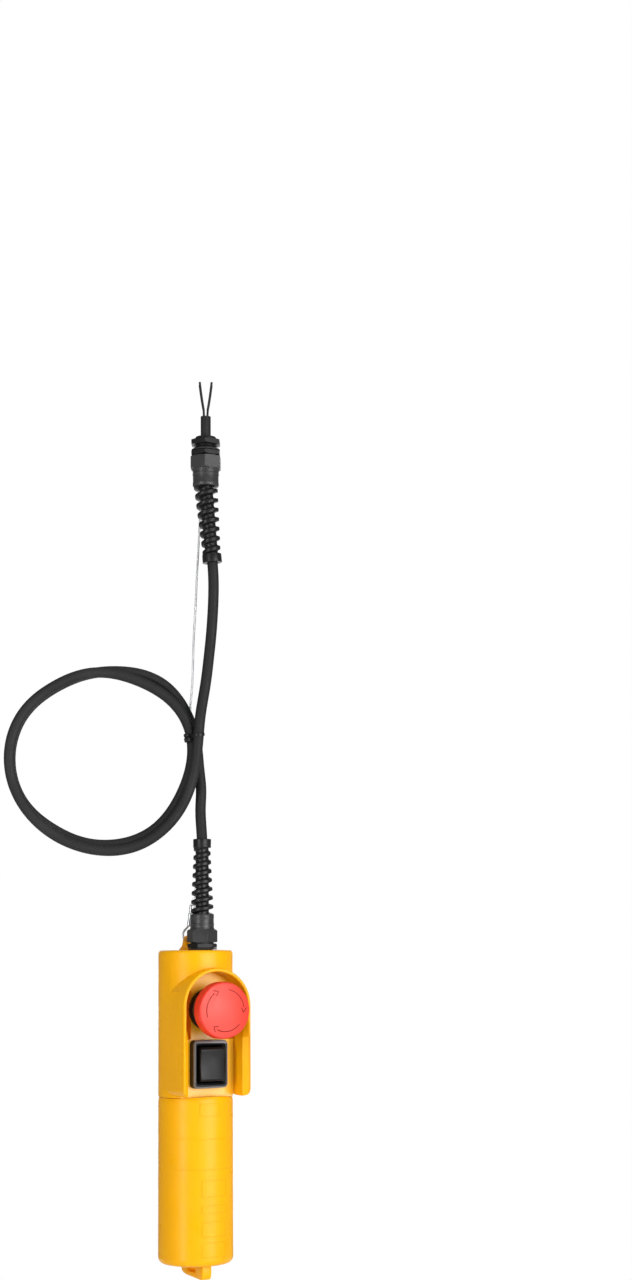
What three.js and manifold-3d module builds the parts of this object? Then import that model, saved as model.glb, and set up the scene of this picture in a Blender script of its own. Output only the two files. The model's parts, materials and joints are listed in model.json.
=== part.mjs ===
// Pendant control station of an electric wire-rope hoist, hanging on its coiled control cable.
// Millimetres, +Z up. The origin is the centre of the seat where the upper cable gland meets the
// hoist. The control panel faces -Y. The cable coil lies in the vertical plane that holds
// COIL_SIDE, to the left of somebody who looks at the panel from its left front.

import * as THREE from 'three';
import { mergeVertices } from 'three/addons/utils/BufferGeometryUtils.js';
import Module from 'manifold-3d';

const wasm = await Module();
wasm.setup();

// ---------------------------------------------------------------- driving dimensions

const GAP = 0.3;                      // clearance kept between pieces that touch

// cable, coil and the two axes that everything hangs on
const CABLE_R = 3.75;
const COIL_SIDE = new THREE.Vector2(0.891, -0.454);   // unit vector along the coil's plane
const COIL_OFFSET = -71.3;            // coil centre, along COIL_SIDE
const COIL_Z = -219.9;
const COIL_INNER_R = 58.6;
const COIL_OUTER_R = 68.2;
const COIL_HALF_DEPTH = 7.7;
const PENDANT_X = -2.5;               // axis of the yellow housing
const PENDANT_Y = 11.5;
const PENDANT_TOP = -354.3;
const GLAND_Y = -10.2;                // lower gland, in front of the housing's axis

// yellow housing, in the pendant's own frame: top face at z = 0
const BODY_R = 26;
const WALL = 2.6;
const SEAM_Z = -101.3;
const BOTTOM_Z = -215.4;
const HOOD_FRONT = -33.5;
const HOOD_BOTTOM = -98.5;
const ARCH_Z = -38.4;                 // centre of the hood's round top
const PANEL_Y = -17;
const PANEL_THICK = 2.5;
const ROCKER_WALL = 5.2;              // hood walls beside the rocker are thicker
const POCKET_TOP = -22.5;
const POCKET_BOTTOM = -61.5;
const POCKET_INNER = 12.3;
const POCKET_WALL = 1.7;
const POCKET_FLOOR = -6;
const SPIGOT_R = 23;
const SPIGOT_END = -119;
const SEAL_Z = -109;
const SCREW_Z = -113.8;
const SCREW_ANGLES = [125, -125];     // degrees round the housing from the panel side

// emergency stop
const STOP_Z = -41;
const STOP_TRAVEL = 5.5;              // how far the stop button goes in
const MUSHROOM_R = 19.5;
const MUSHROOM_FRONT = -46;             // the middle of its domed face
const COLLAR_R = 14.5;
const BARREL_R = 8.8;
const PANEL_NUT_R = 10.3;
const BLOCK_FRONT = 3;
const BLOCK_BACK = 17;

// rocker switch
const ROCKER_Z = -78.3;
const FRAME_HALF_X = 13.2;
const FRAME_HALF_Z = 16.4;
const FRAME_FRONT = -23.6;
const SWITCH_HALF_X = 12;
const SWITCH_HALF_Z = 15;
const SWITCH_BACK = 4;
const ROCKER_HALF_X = 9.5;
const ROCKER_PIVOT_Y = -18;
const SEESAW_PIVOT_Y = -5.4;
const POLE_X = 5.35;
const TAB_Z = { top: 8.4, middle: 0, bottom: -8.4 };

// capacitor in the handle
const CAP_R = 17.5;
const CAP_TOP = -130;
const CAP_BOTTOM = -198;

// cable glands, each in its own frame: seat at z = 0, cable side towards +z
const GLAND_HEX = 9.9;                // half the width across flats
const GLAND_THREAD_R = 7.9;
const SPIRAL_TURNS = 7.5;
const SPIRAL_PITCH = 6;
const PROTECTOR_COLLAR = 6.2;         // length of the plain collar at the protector's end
const PENDANT_GLAND = { lean: 0, washerTop: 1.3, spiralStart: 25, length: 77.4 };
// the hoist gland's protector leans along COIL_SIDE, by `lean` radians
const HOIST_GLAND = { lean: 0.085, washerTop: 1, spiralStart: 26.7, length: 81.4 };

// safety wire
const WIRE_R = 0.75;
const LUG_EYE_Y = 9.5;
const LUG_EYE_Z = 5.6;

// ---------------------------------------------------------------- materials

const finish = (color, roughness, metalness = 0) =>
  new THREE.MeshStandardMaterial({ color, roughness, metalness });

const yellowPlastic = finish(0xf7b50f, 0.45);
const redPlastic = finish(0xe8301f, 0.35);
const blackPlastic = finish(0x262627, 0.5);
const greyPlastic = finish(0x77777a, 0.45);
const whitePlastic = finish(0xd9d9d2, 0.5);
const cableJacket = finish(0x2e2e30, 0.75);
const blackRubber = finish(0x1c1c1c, 0.85);
const foam = finish(0x4a4a4c, 0.95);
const steel = finish(0xb8bcc0, 0.35, 1);
const brass = finish(0xc9a24a, 0.35, 1);
const aluminium = finish(0xc4c6c8, 0.4, 1);
const wireSteel = finish(0xc8cccf, 0.4, 0.8);
const coreColours = {
  brown: finish(0x6a3d22, 0.6),
  blue: finish(0x2a5fae, 0.6),
  black: finish(0x222222, 0.6),
  grey: finish(0x8c8f92, 0.6),
};

// ---------------------------------------------------------------- solids

// Leaves position only, welds the shared vertices, drops the slivers that a lathe has on its
// axis, and turns the faces out.
function weld(geometry) {
  const bare = geometry.clone();
  for (const name of Object.keys(bare.attributes)) {
    if (name !== 'position') bare.deleteAttribute(name);
  }
  const merged = mergeVertices(bare, 1e-4);
  const corners = merged.index.array;
  const p = merged.attributes.position.array;
  const kept = [];
  let volume = 0;
  for (let i = 0; i < corners.length; i += 3) {
    const [a, b, c] = [corners[i], corners[i + 1], corners[i + 2]];
    if (a === b || b === c || c === a) continue;
    kept.push(a, b, c);
    const [ax, ay, az] = [p[3 * a], p[3 * a + 1], p[3 * a + 2]];
    const [bx, by, bz] = [p[3 * b], p[3 * b + 1], p[3 * b + 2]];
    const [cx, cy, cz] = [p[3 * c], p[3 * c + 1], p[3 * c + 2]];
    volume += ax * (by * cz - bz * cy) + ay * (bz * cx - bx * cz) + az * (bx * cy - by * cx);
  }
  if (volume < 0) {
    for (let i = 0; i < kept.length; i += 3) [kept[i], kept[i + 1]] = [kept[i + 1], kept[i]];
  }
  merged.setIndex(kept);
  return merged;
}

function solid(geometry) {
  const closed = weld(geometry);
  return new wasm.Manifold(new wasm.Mesh({
    numProp: 3,
    vertProperties: new Float32Array(closed.attributes.position.array),
    triVerts: new Uint32Array(closed.index.array),
  }));
}

function geometryOf(body) {
  const mesh = body.getMesh();
  const geometry = new THREE.BufferGeometry();
  geometry.setAttribute('position', new THREE.BufferAttribute(mesh.vertProperties, 3));
  geometry.setIndex(new THREE.BufferAttribute(mesh.triVerts, 1));
  return geometry;
}

// start + each of adds - each of cuts
function shaped(start, adds = [], cuts = []) {
  let body = start.isBufferGeometry ? solid(start) : start;
  for (const piece of adds) body = body.add(piece.isBufferGeometry ? solid(piece) : piece);
  for (const piece of cuts) body = body.subtract(piece.isBufferGeometry ? solid(piece) : piece);
  return body;
}

function common(a, b) {
  return solid(a).intersect(solid(b));
}

function box(x0, x1, y0, y1, z0, z1) {
  const geometry = new THREE.BoxGeometry(x1 - x0, y1 - y0, z1 - z0);
  return geometry.translate((x0 + x1) / 2, (y0 + y1) / 2, (z0 + z1) / 2);
}

// Turned piece round the Z axis from [radius, height] pairs.
function turned(profile, sides = 32) {
  const points = profile.map(([r, z]) => new THREE.Vector2(r, z));
  return new THREE.LatheGeometry(points, sides).rotateX(Math.PI / 2);
}

function rod(radius, z0, z1, sides = 32) {
  return turned([[0, z0], [radius, z0], [radius, z1], [0, z1]], sides);
}

function ring(inner, outer, z0, z1, sides = 32) {
  return turned([[inner, z0], [outer, z0], [outer, z1], [inner, z1], [inner, z0]], sides);
}

// The same pieces lying along Y, at height z: a lathe height of h ends up at y = h.
function alongY(geometry, z = 0) {
  return geometry.rotateX(-Math.PI / 2).translate(0, 0, z);
}

function alongX(geometry) {
  return geometry.rotateY(Math.PI / 2);
}

// Outline in the XZ plane, extruded from y0 to y1.
function frontPlate(shape, y0, y1, curveSegments = 12) {
  const geometry = new THREE.ExtrudeGeometry(shape, {
    depth: y1 - y0, bevelEnabled: false, curveSegments,
  });
  return geometry.rotateX(Math.PI / 2).translate(0, y1, 0);
}

// Outline in the YZ plane, extruded from x0 to x1.
function sidePlate(shape, x0, x1, curveSegments = 10) {
  const geometry = new THREE.ExtrudeGeometry(shape, {
    depth: x1 - x0, bevelEnabled: false, curveSegments,
  });
  return geometry.rotateY(Math.PI / 2).rotateX(Math.PI / 2).translate(x0, 0, 0);
}

function roundedRect(x0, x1, y0, y1, r) {
  const shape = new THREE.Shape();
  shape.moveTo(x0 + r, y0);
  shape.lineTo(x1 - r, y0);
  shape.absarc(x1 - r, y0 + r, r, -Math.PI / 2, 0, false);
  shape.lineTo(x1, y1 - r);
  shape.absarc(x1 - r, y1 - r, r, 0, Math.PI / 2, false);
  shape.lineTo(x0 + r, y1);
  shape.absarc(x0 + r, y1 - r, r, Math.PI / 2, Math.PI, false);
  shape.lineTo(x0, y0 + r);
  shape.absarc(x0 + r, y0 + r, r, Math.PI, Math.PI * 1.5, false);
  return shape;
}

// Hexagonal bar with flats `half` away from the axis.
function hexBar(half, z0, z1) {
  return rod(half / Math.cos(Math.PI / 6), z0, z1, 6);
}

// Round bar along a smooth curve through the points.
function tube(points, radius, sides, steps) {
  const path = new THREE.CatmullRomCurve3(points.map((p) => new THREE.Vector3(...p)));
  const section = new THREE.Shape();
  for (let i = 0; i < sides; i += 1) {
    const a = (2 * Math.PI * i) / sides;
    section[i ? 'lineTo' : 'moveTo'](radius * Math.cos(a), radius * Math.sin(a));
  }
  return new THREE.ExtrudeGeometry(section, { steps, bevelEnabled: false, extrudePath: path });
}

// Point at `side` along the coil's plane, `behind` away from the viewer, at height z.
function coilPoint(side, behind, z) {
  return [
    side * COIL_SIDE.x - behind * COIL_SIDE.y,
    side * COIL_SIDE.y + behind * COIL_SIDE.x,
    z,
  ];
}

// ---------------------------------------------------------------- scene graph

const station = new THREE.Group();
const pendant = new THREE.Group();
pendant.position.set(PENDANT_X, PENDANT_Y, PENDANT_TOP);
station.add(pendant);

function place(parent, name, shape, material) {
  const mesh = new THREE.Mesh(shape.isBufferGeometry ? weld(shape) : geometryOf(shape), material);
  mesh.name = name;
  parent.add(mesh);
  return mesh;
}

// ---------------------------------------------------------------- head housing

function archOutline(halfWidth, bottom) {
  const shape = new THREE.Shape();
  shape.moveTo(-halfWidth, bottom);
  shape.lineTo(halfWidth, bottom);
  shape.lineTo(halfWidth, ARCH_Z);
  shape.absarc(0, ARCH_Z, halfWidth, 0, Math.PI, false);
  shape.lineTo(-halfWidth, bottom);
  return shape;
}

// Side view of the hood: its lower end is rounded at the front and at the back.
function hoodSideOutline() {
  const shape = new THREE.Shape();
  const frontR = 6;
  const backR = 7;
  const backY = PANEL_Y + 1;
  shape.moveTo(5, 0);
  shape.lineTo(HOOD_FRONT, 0);
  shape.lineTo(HOOD_FRONT, HOOD_BOTTOM + frontR);
  shape.absarc(HOOD_FRONT + frontR, HOOD_BOTTOM + frontR, frontR, Math.PI, Math.PI * 1.5, false);
  shape.lineTo(backY - backR, HOOD_BOTTOM);
  shape.absarc(backY - backR, HOOD_BOTTOM + backR, backR, -Math.PI / 2, 0, false);
  shape.lineTo(5, HOOD_BOTTOM + backR);
  return shape;
}

function headHousing() {
  const corner = 2.5;
  const body = solid(turned([
    [0, SPIGOT_END], [SPIGOT_R, SPIGOT_END], [SPIGOT_R, SEAM_Z], [BODY_R, SEAM_Z],
    [BODY_R, -corner], [BODY_R - 0.3 * corner, -0.3 * corner], [BODY_R - corner, 0], [0, 0],
  ], 36));
  const hood = common(
    frontPlate(archOutline(BODY_R, HOOD_BOTTOM), HOOD_FRONT, 0, 11),
    sidePlate(hoodSideOutline(), -BODY_R - 1, BODY_R + 1, 3),
  );

  // the recess under the hood: round about the stop button, narrower beside the rocker
  const stopRecess = common(
    frontPlate(archOutline(BODY_R - WALL, SEAM_Z - 5), HOOD_FRONT - 5, PANEL_Y, 11),
    box(-BODY_R, BODY_R, -60, 0, POCKET_BOTTOM, 0),
  );
  const rockerHalf = BODY_R - ROCKER_WALL;
  const rockerRecess = box(-rockerHalf, rockerHalf, -60, PANEL_Y, SEAM_Z, POCKET_BOTTOM + 5);
  const chamfer = new THREE.Shape();
  chamfer.moveTo(-rockerHalf, HOOD_FRONT + 3.6);
  chamfer.lineTo(rockerHalf, HOOD_FRONT + 3.6);
  chamfer.lineTo(BODY_R - 1.2, HOOD_FRONT - 0.1);
  chamfer.lineTo(1.2 - BODY_R, HOOD_FRONT - 0.1);
  const flare = new THREE.ExtrudeGeometry(chamfer, { depth: 50, bevelEnabled: false })
    .translate(0, 0, SEAM_Z);

  // hollow inside, the panel left standing across its front
  const hollowR = BODY_R - WALL;
  const panelBack = PANEL_Y + PANEL_THICK;
  const hollow = common(rod(hollowR, SEAM_Z - 2, -2.8, 28), box(-30, 30, panelBack, 30, -150, 5));
  const topHollow = rod(hollowR, ARCH_Z + BODY_R + 0.4, -2.8, 28);
  const spigotHollow = rod(SPIGOT_R - 2.2, SPIGOT_END - 1, SEAM_Z - 2.7, 28);
  const throat = common(
    rod(SPIGOT_R - 2.2, SEAM_Z - 5, SEAM_Z + 5, 28),
    box(-30, 30, panelBack, 30, -150, 5),
  );

  // finger pockets beside the stop button, with their own walls
  const pockets = [];
  const pocketWalls = [];
  for (const side of [-1, 1]) {
    const inner = side * POCKET_INNER;
    const outer = side * (BODY_R - WALL);
    const wallInner = side * (POCKET_INNER - POCKET_WALL);
    const [a, b] = [Math.min(inner, outer), Math.max(inner, outer)];
    const [c, d] = [Math.min(wallInner, outer), Math.max(wallInner, outer)];
    pockets.push(common(
      box(a, b, PANEL_Y - 1, POCKET_FLOOR, POCKET_BOTTOM, POCKET_TOP),
      frontPlate(archOutline(BODY_R - WALL, SEAM_Z), PANEL_Y - 2, POCKET_FLOOR + 1, 11),
    ));
    pocketWalls.push(common(
      box(c, d, PANEL_Y, POCKET_FLOOR + 2, POCKET_BOTTOM - 1.4, POCKET_TOP + 2),
      rod(hollowR + 0.5, -90, -10, 28),
    ));
  }

  // safety-wire lug on top, behind the gland
  const lug = new THREE.Shape();
  lug.moveTo(3.5, -1);
  lug.lineTo(22, -1);
  lug.lineTo(22, 0.8);
  lug.quadraticCurveTo(16.8, 3.4, 16, 6.4);
  lug.quadraticCurveTo(14.4, 10.4, 10.4, 10.4);
  lug.lineTo(7.6, 10.4);
  lug.quadraticCurveTo(4.4, 9.6, 3.5, 5.5);
  lug.lineTo(3.5, -1);
  const eye = new THREE.Path();
  eye.absarc(LUG_EYE_Y, LUG_EYE_Z, 2.6, 0, Math.PI * 2, true);
  lug.holes.push(eye);

  let head = body.add(hood);
  head = head.subtract(stopRecess);
  head = shaped(head, [], [rockerRecess, flare, hollow, topHollow, spigotHollow, throat]);
  for (const wall of pocketWalls) head = head.add(wall);
  head = shaped(head, [sidePlate(lug, -2, 2, 6)], [
    ...pockets,
    alongY(rod(BARREL_R + GAP + 0.1, -20, -10, 20), STOP_Z),
    box(-SWITCH_HALF_X - GAP, SWITCH_HALF_X + GAP, -20, -10,
      ROCKER_Z - SWITCH_HALF_Z - GAP, ROCKER_Z + SWITCH_HALF_Z + GAP),
    rod(GLAND_THREAD_R + GAP, -5, 5, 20).translate(0, GLAND_Y, 0),
    ring(SPIGOT_R - 1.4, SPIGOT_R + 2, SEAL_Z - 1.2, SEAL_Z + 1.2, 28),
  ]);
  for (const angle of SCREW_ANGLES) {
    const hole = alongY(rod(1.5, -30, -12, 12), SCREW_Z).rotateZ((angle * Math.PI) / 180);
    head = shaped(head, [], [hole]);
  }
  return head;
}

place(pendant, 'head_housing', headHousing(), yellowPlastic);

// ---------------------------------------------------------------- handle tube

function handleTube() {
  const top = SEAM_Z - GAP;
  const innerR = BODY_R - WALL;
  const lipTop = SEAM_Z + 2.5;
  const lipBack = PANEL_Y - GAP - 0.05;
  const shell = solid(turned([
    [0, BOTTOM_Z], [BODY_R - 4, BOTTOM_Z], [BODY_R - 1.2, BOTTOM_Z + 1.2],
    [BODY_R, BOTTOM_Z + 4], [BODY_R, top], [innerR, top], [innerR, BOTTOM_Z + 4.5],
    [innerR - 1.6, BOTTOM_Z + 2.8], [0, BOTTOM_Z + 2.8],
  ], 36));

  // crescent lip that stands in front of the flat panel, highest in the middle
  const dome = new THREE.Shape();
  const lipHalf = 19.2;
  dome.moveTo(-lipHalf, top - 2);
  dome.lineTo(lipHalf, top - 2);
  dome.lineTo(lipHalf, top);
  dome.quadraticCurveTo(lipHalf * 0.55, lipTop, 0, lipTop);
  dome.quadraticCurveTo(-lipHalf * 0.55, lipTop, -lipHalf, top);
  const lipOuter = frontPlate(dome, -BODY_R - 1, lipBack, 6);
  const crescent = shaped(rod(BODY_R, top - 2, lipTop + 1, 36), [], [
    rod(innerR + GAP, top - 3, SEAM_Z + GAP, 36),
  ]).intersect(solid(lipOuter));

  // eye lug under the bottom, in the plane that looks out of the panel
  const lug = new THREE.Shape();
  lug.moveTo(-16.7, BOTTOM_Z + 1.5);
  lug.lineTo(-17.4, BOTTOM_Z - 5.5);
  lug.quadraticCurveTo(-17.2, BOTTOM_Z - 10.2, -13, BOTTOM_Z - 10.2);
  lug.quadraticCurveTo(-10, BOTTOM_Z - 10.2, -8.5, BOTTOM_Z - 9);
  lug.lineTo(8.5, BOTTOM_Z - 9.4);
  lug.quadraticCurveTo(16, BOTTOM_Z - 8.6, 17, BOTTOM_Z + 1.5);
  const slot = new THREE.Path();
  slot.moveTo(-6.5, BOTTOM_Z - 6.2);
  slot.lineTo(-6.5, BOTTOM_Z - 1.4);
  slot.lineTo(7.5, BOTTOM_Z - 1.4);
  slot.lineTo(7.5, BOTTOM_Z - 6.2);
  lug.holes.push(slot);
  let handle = shell.add(crescent);
  handle = shaped(handle, [sidePlate(lug, -3.5, 3.5, 6)]);
  for (const angle of SCREW_ANGLES) {
    const turn = (angle * Math.PI) / 180;
    handle = shaped(handle, [], [
      alongY(rod(2.1, -30, -20, 16), SCREW_Z).rotateZ(turn),
      alongY(rod(3.6, -30, -24.4, 16), SCREW_Z).rotateZ(turn),
    ]);
  }
  return handle;
}

place(pendant, 'handle_tube', handleTube(), yellowPlastic);
place(pendant, 'tube_seal',
  ring(SPIGOT_R - 1, SPIGOT_R + 0.1, SEAL_Z - 0.8, SEAL_Z + 0.8, 24), blackRubber);

for (const [side, angle] of [['left', SCREW_ANGLES[1]], ['right', SCREW_ANGLES[0]]]) {
  const screw = turned([
    [0, -25.6], [2.6, -25.6], [3.2, -25.2], [3.2, -24.7], [1.2, -24.7], [1.2, -16.5], [0, -15.5],
  ], 12);
  place(pendant, `tube_screw_${side}`,
    alongY(screw, SCREW_Z).rotateZ((angle * Math.PI) / 180), steel);
}

// ---------------------------------------------------------------- emergency stop

place(pendant, 'estop_gasket',
  alongY(ring(BARREL_R + GAP, COLLAR_R - 0.3, PANEL_Y - 1.1, PANEL_Y - GAP, 20), STOP_Z),
  blackRubber);

// bezel flange and threaded barrel in one, hollow for the stem and its spring
place(pendant, 'estop_body', alongY(turned([
  [4.6, 2.6], [BARREL_R, 2.6], [BARREL_R, -18.4], [COLLAR_R, -18.4], [COLLAR_R, -21],
  [COLLAR_R - 0.6, -21.7], [10.2, -21.7], [10.2, -20.2], [7.6, -20.2], [7.6, 0.6], [4.6, 0.6],
  [4.6, 2.6],
], 24), STOP_Z), blackPlastic);

place(pendant, 'estop_ring',
  alongY(ring(10.6, COLLAR_R - 0.8, -24.6, -22, 24), STOP_Z), greyPlastic);

place(pendant, 'estop_panel_nut', shaped(
  alongY(ring(BARREL_R + GAP, PANEL_NUT_R, -14.2, -10.8, 20), STOP_Z), [], [
    box(-1.5, 1.5, -16, -9, STOP_Z + PANEL_NUT_R - 0.6, STOP_Z + 14),
    box(-1.5, 1.5, -16, -9, STOP_Z - 14, STOP_Z - PANEL_NUT_R + 0.6),
  ],
), greyPlastic);

// latching stem: front pin in the mushroom, guide shoulder, rear pin into the contact block
place(pendant, 'estop_stem', alongY(turned([
  [0, -38.2], [4.6, -38.2], [4.6, -30.6], [5.4, -30.2], [5.4, -22], [7.2, -22], [7.2, -15.2],
  [4.2, -15.2], [4.2, 5.2], [0, 5.2],
], 16), STOP_Z), whitePlastic);

place(pendant, 'estop_spring',
  alongY(ring(5, 6.9, -9.2, 0.2, 16), STOP_Z), steel);

// mushroom head with a blind bore for the stem
place(pendant, 'estop_mushroom', alongY(turned([
  [0, MUSHROOM_FRONT], [6, MUSHROOM_FRONT + 0.3], [12, MUSHROOM_FRONT + 1.1],
  [17.6, MUSHROOM_FRONT + 2.4], [18.9, MUSHROOM_FRONT + 3], [MUSHROOM_R, MUSHROOM_FRONT + 4.1],
  [MUSHROOM_R, -36.4], [18.4, -34.6], [11.5, -32.4], [9.4, -30.5], [5.8, -30.5], [5, -31.2],
  [5, -38.6], [0, -38.6],
], 28), STOP_Z), redPlastic);

// contact block: the stem's tip enters at the front, the bridge works in a slot open behind
place(pendant, 'estop_contact_block', shaped(
  box(-12, 12, BLOCK_FRONT, BLOCK_BACK, STOP_Z - 10, STOP_Z + 10), [], [
    alongY(rod(4.8, 0, 9 + STOP_TRAVEL, 14), STOP_Z),
    box(-10.4, 10.4, 7.2, BLOCK_BACK + 1, STOP_Z - 3, STOP_Z + 3),
    box(-13, -8, 7.2, 8.9, STOP_Z - 2.4, STOP_Z + 2.4),
    box(8, 13, 7.2, 8.9, STOP_Z - 2.4, STOP_Z + 2.4),
  ],
), blackPlastic);

place(pendant, 'estop_contact_plunger', alongY(turned([
  [0, 5.5], [3.6, 5.5], [3.6, 8.1], [1.4, 8.1], [1.4, 8.8], [0, 8.8],
], 14), STOP_Z), whitePlastic);
place(pendant, 'estop_contact_bridge',
  box(-9.6, 9.6, 9.1, 9.9, STOP_Z - 1.8, STOP_Z + 1.8), brass);
for (const [side, x] of [['left', -1], ['right', 1]]) {
  const [a, b] = [Math.min(6.4 * x, 15.4 * x), Math.max(6.4 * x, 15.4 * x)];
  place(pendant, `estop_terminal_${side}`, box(a, b, 7.6, 8.6, STOP_Z - 2, STOP_Z + 2), brass);
}

// ---------------------------------------------------------------- rocker switch

// snap-in body with its proud bezel, a well for the rocker and slots for six tabs
function switchFrame() {
  const bezel = frontPlate(roundedRect(-FRAME_HALF_X, FRAME_HALF_X, ROCKER_Z - FRAME_HALF_Z,
    ROCKER_Z + FRAME_HALF_Z, 3), FRAME_FRONT, PANEL_Y - GAP, 4);
  const body = box(-SWITCH_HALF_X, SWITCH_HALF_X, FRAME_FRONT + 3, SWITCH_BACK,
    ROCKER_Z - SWITCH_HALF_Z, ROCKER_Z + SWITCH_HALF_Z);
  const cuts = [
    box(-10.2, 10.2, -40, -3, ROCKER_Z - 13.3, ROCKER_Z + 13.3),
    box(-11.6, 11.6, -40, FRAME_FRONT + 2.2, ROCKER_Z - 13.3, ROCKER_Z + 13.3),
    alongX(rod(1.9, -11.2, 11.2, 14)).translate(0, ROCKER_PIVOT_Y, ROCKER_Z),
  ];
  for (const x of [-POLE_X, POLE_X]) {
    for (const z of Object.values(TAB_Z)) {
      cuts.push(box(x - 3.4, x + 3.4, -6, SWITCH_BACK + 2, ROCKER_Z + z - 0.7, ROCKER_Z + z + 0.7));
    }
  }
  return shaped(bezel, [body], cuts);
}

place(pendant, 'rocker_frame', switchFrame(), blackPlastic);

// rocker with its hinge pins and the two spring housings under it
function rockerActuator() {
  const outline = new THREE.Shape();
  outline.moveTo(-27, ROCKER_Z + 10.7);
  outline.quadraticCurveTo(-25.4, ROCKER_Z, -27, ROCKER_Z - 10.7);
  outline.lineTo(-25.6, ROCKER_Z - 11.9);
  outline.lineTo(-19.5, ROCKER_Z - 12.2);
  outline.lineTo(-17, ROCKER_Z - 10.5);
  outline.lineTo(-15.4, ROCKER_Z - 3);
  outline.lineTo(-15.4, ROCKER_Z + 3);
  outline.lineTo(-17, ROCKER_Z + 10.5);
  outline.lineTo(-19.5, ROCKER_Z + 12.2);
  outline.lineTo(-25.6, ROCKER_Z + 11.9);
  const cap = sidePlate(outline, -ROCKER_HALF_X, ROCKER_HALF_X, 6);
  const pins = alongX(rod(1.6, -10.9, 10.9, 14)).translate(0, ROCKER_PIVOT_Y, ROCKER_Z);
  const adds = [pins];
  for (const x of [-POLE_X, POLE_X]) {
    adds.push(alongY(rod(2.2, -17, -11, 12), ROCKER_Z).translate(x, 0, 0));
  }
  return shaped(cap, adds);
}

place(pendant, 'rocker_actuator', rockerActuator(), blackPlastic);

for (const [side, x] of [['left', -POLE_X], ['right', POLE_X]]) {
  const plunger = alongY(turned([
    [0, -10.7], [1.6, -10.7], [1.6, -8.2], [0.9, -7.3], [0, -7.1],
  ], 12), ROCKER_Z).translate(x, 0, 0);
  place(pendant, `rocker_plunger_${side}`, plunger, whitePlastic);
  place(pendant, `rocker_seesaw_${side}`,
    box(x - 2, x + 2, -6.6, -5.8, ROCKER_Z - 8, ROCKER_Z + 8), brass);
  for (const [level, z] of Object.entries(TAB_Z)) {
    const tip = level === 'middle' ? SEESAW_PIVOT_Y : -4.4;
    place(pendant, `rocker_tab_${side}_${level}`,
      box(x - 3.1, x + 3.1, tip, 12.5, ROCKER_Z + z - 0.4, ROCKER_Z + z + 0.4), brass);
  }
}

// ---------------------------------------------------------------- capacitor

function capacitor() {
  const can = turned([
    [0, CAP_BOTTOM], [CAP_R - 1, CAP_BOTTOM], [CAP_R, CAP_BOTTOM + 1], [CAP_R, CAP_TOP - 1],
    [CAP_R - 1, CAP_TOP], [0, CAP_TOP],
  ], 28);
  const tabs = [-6, 6].map((x) => box(x - 3.1, x + 3.1, -0.4, 0.4, CAP_TOP - 1, CAP_TOP + 9));
  return shaped(can, tabs);
}
place(pendant, 'capacitor', capacitor(), aluminium);
place(pendant, 'capacitor_pad', rod(21, BOTTOM_Z + 5, CAP_BOTTOM - GAP, 24), foam);

// ---------------------------------------------------------------- cable glands

// Ribs of the bend protector, which stand for its spiral and get smaller towards the end.
function ribProfile(start) {
  const profile = [];
  for (let i = 0; i <= SPIRAL_TURNS * 2; i += 1) {
    const along = i / (SPIRAL_TURNS * 2);
    const crest = THREE.MathUtils.lerp(7.9, 6, along);
    const valley = THREE.MathUtils.lerp(5.8, 4.9, along);
    profile.push([i % 2 ? valley : crest, start + 1 + (i * SPIRAL_PITCH) / 2]);
  }
  return profile;
}

// Tips a piece of a gland about the start of its protector, towards +x.
function tipped(shape, { lean, spiralStart }) {
  return shape.translate(0, 0, -spiralStart).rotateY(lean).translate(0, 0, spiralStart);
}

// Compression nut with its moulded bend protector.
function compressionNut(spec) {
  const { spiralStart, length } = spec;
  const bore = CABLE_R + 0.5;
  const nut = shaped(hexBar(GLAND_HEX + 0.2, 5.3, 14.4), [
    turned([[0, 13], [8.6, 13], [8.6, 15], [8.3, 16], [8.2, spiralStart], [0, spiralStart]], 18),
  ]);
  const protector = turned([
    [0, spiralStart - 1], [7, spiralStart - 1], ...ribProfile(spiralStart),
    [6.2, length - PROTECTOR_COLLAR], [6.2, length], [0, length],
  ], 12);
  return shaped(nut, [tipped(protector, spec)], [
    rod(8.6, 5, 13.2, 18),
    rod(bore, 0, spiralStart + 1, 10),
    tipped(rod(bore, spiralStart - 1, length + 1, 10), spec),
  ]);
}

// Gland in its own frame; the cable leaves it towards +z.
function gland(prefix, parent, spec) {
  const { washerTop } = spec;
  place(parent, `${prefix}_washer`,
    ring(GLAND_THREAD_R + GAP, 10.2, washerTop - 1, washerTop, 18), blackRubber);
  place(parent, `${prefix}_body`, shaped(
    turned([
      [CABLE_R + GAP, -9], [GLAND_THREAD_R, -9], [GLAND_THREAD_R, 4], [8.1, 4], [8.1, 12.6],
      [5.8, 12.6], [5.8, 6], [CABLE_R + GAP, 6], [CABLE_R + GAP, -9],
    ], 18),
    [shaped(hexBar(GLAND_HEX, 1.5, 4.6), [], [rod(6, 0, 8, 18)])],
  ), blackPlastic);
  place(parent, `${prefix}_seal`, ring(CABLE_R + GAP, 5.4, 6.3, 12.6, 16), blackRubber);
  place(parent, `${prefix}_nut`, compressionNut(spec), blackPlastic);
  place(parent, `${prefix}_locknut`,
    shaped(hexBar(GLAND_HEX, -6.8, -3.2), [], [rod(GLAND_THREAD_R + GAP, -8, 0, 18)]), blackPlastic);
}

const lowerGland = new THREE.Group();
lowerGland.position.set(0, GLAND_Y, 0);
pendant.add(lowerGland);
gland('pendant_gland', lowerGland, PENDANT_GLAND);
place(lowerGland, 'cable_pendant_end',
  rod(CABLE_R, -16, PENDANT_GLAND.length - 1.5 * GAP, 10), cableJacket);

const upperGland = new THREE.Group();
upperGland.rotation.set(Math.PI, 0, Math.atan2(COIL_SIDE.y, COIL_SIDE.x), 'ZYX');
station.add(upperGland);
gland('hoist_gland', upperGland, HOIST_GLAND);

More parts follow.
